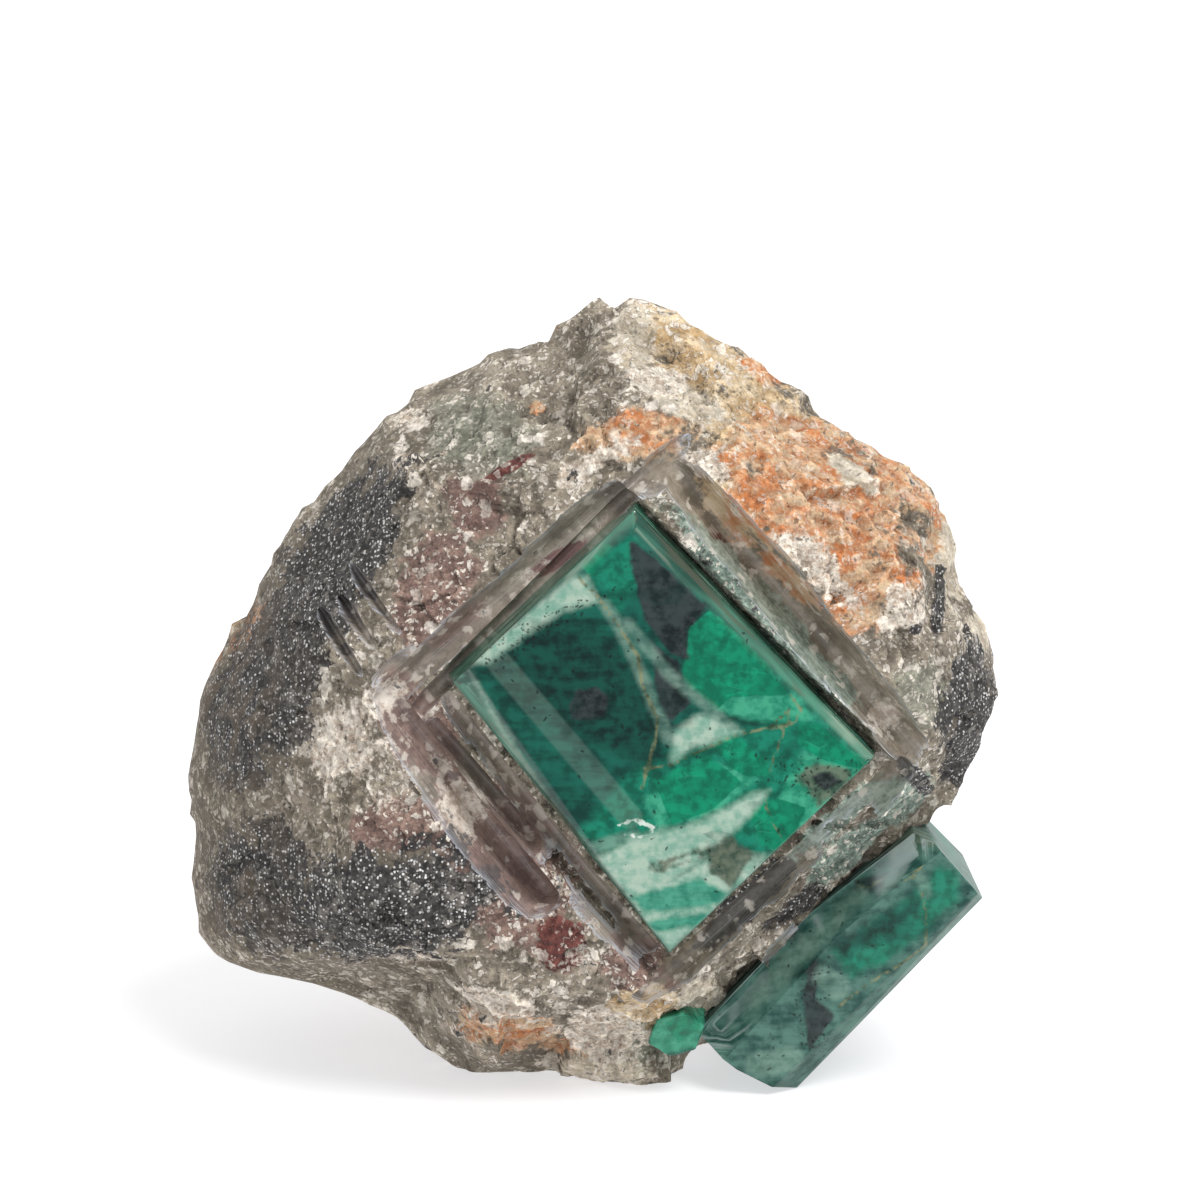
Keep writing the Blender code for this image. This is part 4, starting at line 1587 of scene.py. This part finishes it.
class SquareBlock(Emerald):
    """The square block of emerald inside the ring of channels."""

    RINGS = (
        (-29.5, ((3.5, 73.3), (32.0, 44.8), (8.4, 21.5), (0.2, 32.9), (-15.8, 56.8))),
        (-28.3, ((4.1, 76.0), (33.0, 45.4), (8.4, 20.9), (-0.6, 32.5), (-17.7, 54.8))),
        (-22.0, ((4.7, 76.6), (33.9, 45.3), (8.6, 20.4), (-1.0, 32.2), (-18.4, 54.3))),
        (-11.0, ((4.6, 74.6), (31.9, 45.2), (8.6, 22.6), (0.6, 33.0), (-16.6, 54.0))),
    )
    OUTLINE = RINGS[1][1]
    ROOT_START = -21.0
    BEVEL = 0.16
    FIGURES = {
        Vein.MID: (
            Figure(((-3, 36), (4, 44), (9, 47), (22, 57), (33, 45), (20, 33), (14, 37), (2, 33))),
            Figure(((-2, 69), (4, 74), (6, 68), (2, 64))),
        ),
        Vein.DARK: (
            Figure(((-14.9, 57), (-8.9, 61.7), (-3.8, 63.4), (0, 62), (4.1, 58), (7, 52), (8, 45),
                    (2, 46), (-6, 50), (-12, 54))),
            Figure(((13.3, 53.3), (16, 54.7), (19.4, 54.1), (22.8, 53.3), (22.5, 51.5), (18.8, 49.5),
                    (14, 50.6))),
        ),
        Vein.FRESH: (
            Figure(((24.4, 46.6), (32, 44.8), (27, 39.6), (22, 33.8), (19, 36), (21.6, 41))),
            Figure(((12, 56), (15.6, 53.6), (23.6, 53.6), (26, 50.4), (19.6, 50.2), (13.4, 51.6))),
            Figure(((5, 40.6), (13.6, 45), (19.6, 43.4), (15, 39.4), (7.6, 37))),
        ),
        Vein.BRIGHT: (
            Figure(((-2.3, 69.3), (0.7, 72.2), (1.4, 71.7), (-1, 68.1))),
            Figure(((10.6, 61.7), (13.2, 63.9), (17.1, 60.5), (20.5, 56.8), (22.7, 53.5), (16, 53.3),
                    (14, 51.5), (9.9, 55.2))),
            Figure(((13.5, 47.7), (16, 48.9), (20, 45.4), (20.6, 43.3), (17.7, 43.3), (15.5, 44.8))),
            Figure(((23.7, 50), (26.2, 50), (32.5, 44.8), (31.4, 44.2), (26.8, 45.4), (24, 47.1))),
            Figure(((17.8, 38.9), (21.2, 40.7), (25.1, 39.5), (22.3, 34.2), (19.5, 34.8))),
            Figure(((6.4, 43), (13, 46), (17, 42.6), (14, 39.5), (8.7, 37.3))),
        ),
        Vein.MINT: (
            Figure(((-16, 57), (-10.6, 62), (-3.3, 68), (-1.6, 68.1), (-0.3, 65.2), (-5, 63.4),
                    (-9, 60.8), (-13.2, 57.6))),
            Figure(((-16, 57), (-10.7, 47.7), (-3.3, 35.4), (-1, 32.1), (-2.7, 34.2), (-11.2, 46.4))),
            Figure(((8.6, 48.9), (12, 51.2), (16, 50), (17.1, 48.9), (12, 47.1), (8.6, 45.4))),
            Figure(((-1, 33), (4.1, 35.8), (12.1, 37.8), (17.7, 41), (20.6, 41.8), (17.2, 37.5),
                    (12.6, 33), (8, 29.5), (1.6, 29.6))),
            Figure(((2, 30.5), (8, 30.5), (13, 33), (16, 29.5), (14.2, 26.8), (8.5, 21.5), (4.6, 26))),
            Figure(((16.6, 33.6), (20.6, 33.6), (17.8, 30.1), (16.1, 29.5))),
        ),
        Vein.HAZE: (
            Figure(((0.6, 64.6), (2.4, 61.6), (5, 56), (8.2, 48)), 0.7),
            Figure(((3.4, 62.2), (8.4, 56), (14.4, 50.7)), 0.7),
            Figure(((-6, 36.6), (-1, 34.4), (4, 36)), 0.8),
        ),
        Vein.PEPPER: (
            Figure(((-13, 57.6), (-9.6, 60), (-5.6, 62.8), (-2.4, 64.4)), 1.5),
            Figure(((23, 44), (30, 42.5)), 2.4),
        ),
        Vein.STRIPE: (
            Figure(((3.6, 28.2), (12.1, 30.9), (15.5, 28.9), (14.4, 27.4), (5.4, 26.3))),
            Figure(((5.8, 25.1), (8.7, 25.9), (13.4, 26.4), (12.1, 24.8), (7, 23.9))),
        ),
        Vein.BROWN: (
            Figure(((12.8, 34.2), (15.8, 36), (18.3, 33.6), (16.1, 29.5), (13.2, 31.3))),
            Figure(((6.4, 32.4), (12.1, 34), (12.4, 33.3), (7, 31.7)), 0.25),
            Figure(((23.4, 43.4), (26.2, 45.2), (30.4, 44.1), (29.9, 41.6), (26.3, 39.8))),
        ),
        Vein.CHARCOAL: (
            Figure(((3.5, 73), (12.8, 64.4), (10.6, 61.7), (10.6, 57.8), (8.4, 58.6), (5.5, 62.6),
                    (3.6, 69.3))),
            Figure(((6.3, 60), (9.2, 57.6), (10.9, 52.4), (8.6, 50), (6.9, 52.4))),
            Figure(((-3.7, 52.4), (-2.7, 54.1), (-0.7, 54.5), (1.1, 53.3), (0.7, 51.2), (-1, 50.2),
                    (-3.3, 50.6))),
            Figure(((25.2, 43.4), (27.2, 44), (29.2, 42.8), (27, 41.4))),
        ),
        Vein.LINE: (
            Figure(((-2.7, 68), (-0.4, 65.8), (2.4, 61.7), (4.6, 58.2), (5.1, 54.7), (6.9, 50.6),
                    (6.6, 47.7), (5, 41.8)), 0.22),
            Figure(((4.9, 44.2), (8.6, 44.8), (13.2, 47.1), (16.6, 48.6), (20.5, 49.5),
                    (22.8, 51.8)), 0.16),
            Figure(((22.8, 51.8), (22.5, 50), (20.6, 44.8), (20, 39.5), (22.3, 34.8)), 0.14),
            Figure(((22.8, 53.5), (24.2, 51.8), (23.4, 50), (20.5, 49.3)), 0.2),
        ),
        Vein.CHALK: (
            Figure(((1.9, 37.1), (4.1, 38.1), (6.4, 37.1), (5.8, 35.8), (3, 36.2)), 0.12),
        ),
        # Painted reflection of a light panel, a pale band across the polished face.
        Vein.PAINTED_REFLECTION: (
            Figure(((-12.2, 57.6), (3.6, 38.4)), 1.5),
        ),
    }

    def build(self) -> bpy.types.Object:
        """Grind and polish the block.

        Returns:
            The finished piece.
        """
        bm = loft(self.RINGS)
        edges = [edge for edge in bm.edges if max(vert.co.y for vert in edge.verts) < self.ROOT_START]
        bevel(bm, edges, self.BEVEL, self.BEVEL_STEPS)
        refine(bm, FINE_EDGE, self.ROOT_START)
        piece = add_object("emerald_block_piece", bm)
        self.paint(piece.data, self.RINGS[0][0])
        front = EmeraldFinish("polished_emerald", 0.07, 0.01)
        side = EmeraldFinish("polished_emerald_side", 0.10, 0.02, mirror=0.5, walls=0.8)
        self.dress(piece, "emerald_block", front, side)
        return piece


class EndBlock(Emerald):
    """The second block, at the lower right behind the V channel."""

    RINGS = (
        (
            -17.0,
            ((11.8, 6.8), (26, 22), (38.6, 32.2), (41.2, 31.4), (46.4, 25.4), (21.2, 0.5), (16.9, 2.8)),
        ),
        (
            -13.6,
            ((11.8, 6.8), (26, 22), (38.6, 32.2), (41.0, 31.2), (47.2, 23.9), (24.4, -0.6), (16.8, 2.2)),
        ),
        (
            7.0,
            ((12.0, 7.4), (26.2, 21.6), (37.8, 31.0), (39.8, 30.0), (45.8, 23.8), (23.2, -0.6), (16.6, 3.0)),
        ),
    )
    OUTLINE = RINGS[0][1]
    ROOT_START = -12.0
    BEVEL = 0.2
    SHORT_EDGE = 2.0
    CLOUDY = {
        "mirror": 0.2,
        "deep_dark": (0.010, 0.055, 0.045),
        "deep_light": (0.080, 0.180, 0.145),
    }
    FIGURES = {
        Vein.MID: (
            Figure(((28.6, 18), (33.3, 21.6), (38.6, 25.2), (41.6, 29.1), (44, 28), (44, 24.6),
                    (36.2, 17), (31, 14.6))),
        ),
        Vein.DARK: (
            Figure(((29.1, 19.5), (35.4, 23.1), (38.9, 24.3), (39.5, 22.5), (34.3, 19.5), (29.7, 17.1))),
            Figure(((23.2, 14.6), (26.4, 17.6), (28.2, 17.2), (26, 13.6))),
        ),
        Vein.HAZE: (
            Figure(((27.6, 14.6), (29.4, 13.2)), 1.5),
            Figure(((19.6, 3.4), (23.6, 4.2)), 1.7),
            Figure(((39.4, 27.6), (40, 25.4)), 0.7),
            Figure(((16.6, 8.6), (24.6, 17.2), (32, 24.8)), 1),
        ),
        Vein.PEPPER: (
            Figure(((26.4, 15.4), (26, 10.4), (27, 6)), 2),
        ),
        Vein.BROWN: (
            Figure(((30.2, 29.7), (34.8, 32.1), (40, 33.5), (41.1, 31.5), (35.4, 28.5))),
        ),
        Vein.CHARCOAL: (
            Figure(((25.6, 17.7), (27.4, 15.3), (26.5, 12.2), (28.9, 9.8), (27.4, 7.4), (25.7, 5),
                    (25.1, 11))),
            Figure(((29.6, 25.5), (34.2, 27.3), (37.1, 27.6), (36.6, 26.4), (32, 24.6))),
        ),
        Vein.LINE: (
            Figure(((29.5, 11), (33.2, 14), (37.2, 16.5), (40.1, 18.6)), 0.2),
            Figure(((39.5, 25.5), (40, 23.1), (40.1, 18.6)), 0.16),
            Figure(((30.2, 24.6), (34.3, 26.4), (38.3, 27.3), (39.4, 28.8)), 0.2),
        ),
    }

    def build(self) -> bpy.types.Object:
        """Grind and polish the block, and cut the V channel's side in it.

        Returns:
            The finished piece.
        """
        bm = loft(self.RINGS)
        edges = [edge for edge in bm.edges if edge.calc_length() > self.SHORT_EDGE]
        bevel(bm, edges, self.BEVEL, self.BEVEL_STEPS)
        refine(bm, FINE_EDGE, self.ROOT_START)
        piece = add_object("emerald_end_block_piece", bm)
        front = EmeraldFinish("polished_end_emerald", 0.09, 0.01, streak_turn=32.0, **self.CLOUDY)
        side = EmeraldFinish("ground_end_emerald", 0.34, 0.05, walls=0.2, **self.CLOUDY)
        for finish in (front, side):
            piece.data.materials.append(finish.material())
        cut(piece, [HostRock.V_CHANNEL.cutter()])
        self.paint(piece.data, self.RINGS[0][0], HostRock.V_CHANNEL.path)
        self.dress(piece, "emerald_end_block", front, side)
        return piece


class RawCrystal(Emerald):
    """The small raw crystal between the foot and the second block."""

    FRONT = Vector((9.4, -18.8, 7.8))
    BACK = Vector((10.2, -8.0, 9.6))
    RADIUS = 3.5
    TURN = 14.0
    SIDES = 6
    OVAL = 0.10
    ENDS = ((0.94, 0.9), (0.8, 0.0))
    ROOM_WIDTH = 0.97
    ROOM_SHORTER = 0.1
    ROUGH_SIZE = 2.2
    ROUGH_HEIGHT = 0.16
    BEVEL = 0.15
    BEVEL_STEPS = 1
    EDGE = 0.5
    ROOT_START = -12.0
    SLOT = "raw_emerald"
    FIGURES = {
        Vein.FRESH: (
            Figure(((5, 11), (9, 13), (13.5, 11), (12, 6), (7, 5))),
        ),
        Vein.BRIGHT: (
            Figure(((8, 9.4), (11, 11), (12.4, 8.6), (9.6, 6.8))),
        ),
    }

    def solid(self, clear: float = 0.0) -> bmesh.types.BMesh:
        """Six-sided crystal with a slanted front end.

        Args:
            clear: How far it is drawn out to the front, to cut its room in the rock.

        Returns:
            The mesh in millimetres.
        """
        axis = (self.BACK - self.FRONT).normalized()
        side = axis.cross(Vector((0.0, 0.0, 1.0))).normalized()
        up = side.cross(axis)
        width = self.ROOM_WIDTH if clear else 1.0
        shorter = self.ROOM_SHORTER if clear else 0.0
        bm = bmesh.new()
        loops = []
        centres = (self.FRONT - axis * clear, self.BACK - axis * shorter)
        for centre, (share, slant) in zip(centres, self.ENDS):
            loop = []
            for i in range(self.SIDES):
                turn = math.radians(self.TURN + 360.0 / self.SIDES * i)
                radius = self.RADIUS * share * width * (1.0 + self.OVAL * math.cos(2.0 * turn))
                place = centre + (side * math.cos(turn) + up * math.sin(turn)) * radius
                loop.append(bm.verts.new(place + axis * slant * math.cos(turn)))
            loops.append(loop)
        for i in range(self.SIDES):
            j = (i + 1) % self.SIDES
            bm.faces.new((loops[0][i], loops[0][j], loops[1][j], loops[1][i]))
        for loop in loops:
            peak = bm.verts.new(sum((vert.co for vert in loop), Vector()) / len(loop))
            for i in range(self.SIDES):
                bm.faces.new((loop[i], loop[(i + 1) % self.SIDES], peak))
        return bm

    def build(self) -> bpy.types.Object:
        """Grow and dress the crystal.

        Returns:
            The finished piece.
        """
        bm = self.solid()
        bevel(bm, bm.edges[:], self.BEVEL, self.BEVEL_STEPS)
        refine(bm, self.EDGE, self.ROOT_START)
        for vert in bm.verts:
            rough = noise.fractal(vert.co / self.ROUGH_SIZE, 0.8, 2.0, 4)
            vert.co += vert.normal * self.ROUGH_HEIGHT * rough
        piece = add_object("emerald_chip_piece", bm)
        self.paint(piece.data, IN_FRONT)
        raw = EmeraldFinish("raw_emerald", 0.24, 0.14, mirror=0.4, glow=0.2)
        self.dress(piece, "emerald_chip", raw, raw)
        return piece


@dataclass(frozen=True)
class Studio:
    """The pale floor, the soft light and the camera."""

    distance: float = 900.0
    aim: float = 58.4
    frame_width: float = 148.8
    sensor: float = 36.0
    view_end: float = 100.0
    floor_side: float = 60.0
    floor_glow: float = 0.60
    sky_strength: float = 0.55
    suns: tuple[tuple[str, float, float, float, float], ...] = (
        ("key_light", 2.3, 24.0, 28.0, 24.0),
        ("top_light", 0.9, 120.0, -6.0, -6.0),
    )

    def floor(self) -> None:
        """Lay a wide pale floor."""
        bm = bmesh.new()
        bmesh.ops.create_grid(bm, x_segments=2, y_segments=2, size=self.floor_side / 2)
        mesh = bpy.data.meshes.new("studio_floor")
        bm.to_mesh(mesh)
        bm.free()
        floor = bpy.data.objects.new("studio_floor", mesh)
        bpy.context.scene.collection.objects.link(floor)
        graph = Graph("pale_floor")
        colour = graph.mix(graph.noise(400.0, 2.0), (0.46, 0.46, 0.465), (0.48, 0.48, 0.485))
        glow = {"Emission_Color": (0.985, 0.985, 1.0), "Emission_Strength": self.floor_glow}
        mesh.materials.append(graph.finish(colour, 0.7, Specular_IOR_Level=0.0, **glow))

    def lights(self) -> None:
        """Set a soft sky and a wide overhead light."""
        scene = bpy.context.scene
        world = bpy.data.worlds.new("studio_sky")
        world.use_nodes = True
        sky = world.node_tree.nodes["Background"]
        sky.inputs["Color"].default_value = (1.0, 1.0, 1.0, 1.0)
        sky.inputs["Strength"].default_value = self.sky_strength
        scene.world = world
        for name, power, spread, tip, lean in self.suns:
            light = bpy.data.lights.new(name, "SUN")
            light.energy = power
            light.angle = math.radians(spread)
            lamp = bpy.data.objects.new(name, light)
            lamp.rotation_euler = (math.radians(tip), math.radians(lean), 0.0)
            scene.collection.objects.link(lamp)

    def camera(self) -> None:
        """Place the camera where the photo was taken from."""
        tip = math.radians(VIEW_TILT)
        data = bpy.data.cameras.new("photo_camera")
        data.sensor_width = self.sensor
        data.lens = self.sensor * self.distance / self.frame_width
        data.clip_end = self.view_end
        camera = bpy.data.objects.new("photo_camera", data)
        place = Vector((0.0, -math.cos(tip) * self.distance, self.aim + math.sin(tip) * self.distance))
        camera.location = (place - ORIGIN) * MM
        camera.rotation_euler = (math.radians(90.0) - tip, 0.0, 0.0)
        bpy.context.scene.collection.objects.link(camera)
        bpy.context.scene.camera = camera

    def build(self) -> None:
        """Set up the studio."""
        bpy.context.scene.view_settings.view_transform = "Standard"
        self.floor()
        self.lights()
        self.camera()


def main() -> None:
    """Build the pieces in order and report each one."""
    for maker in (HostRock(), SquareBlock(), EndBlock(), RawCrystal()):
        piece = maker.build()
        LOG.info("%s: %d faces", piece.name, len(piece.data.polygons))
    Studio().build()


if __name__ == "__main__":
    main()
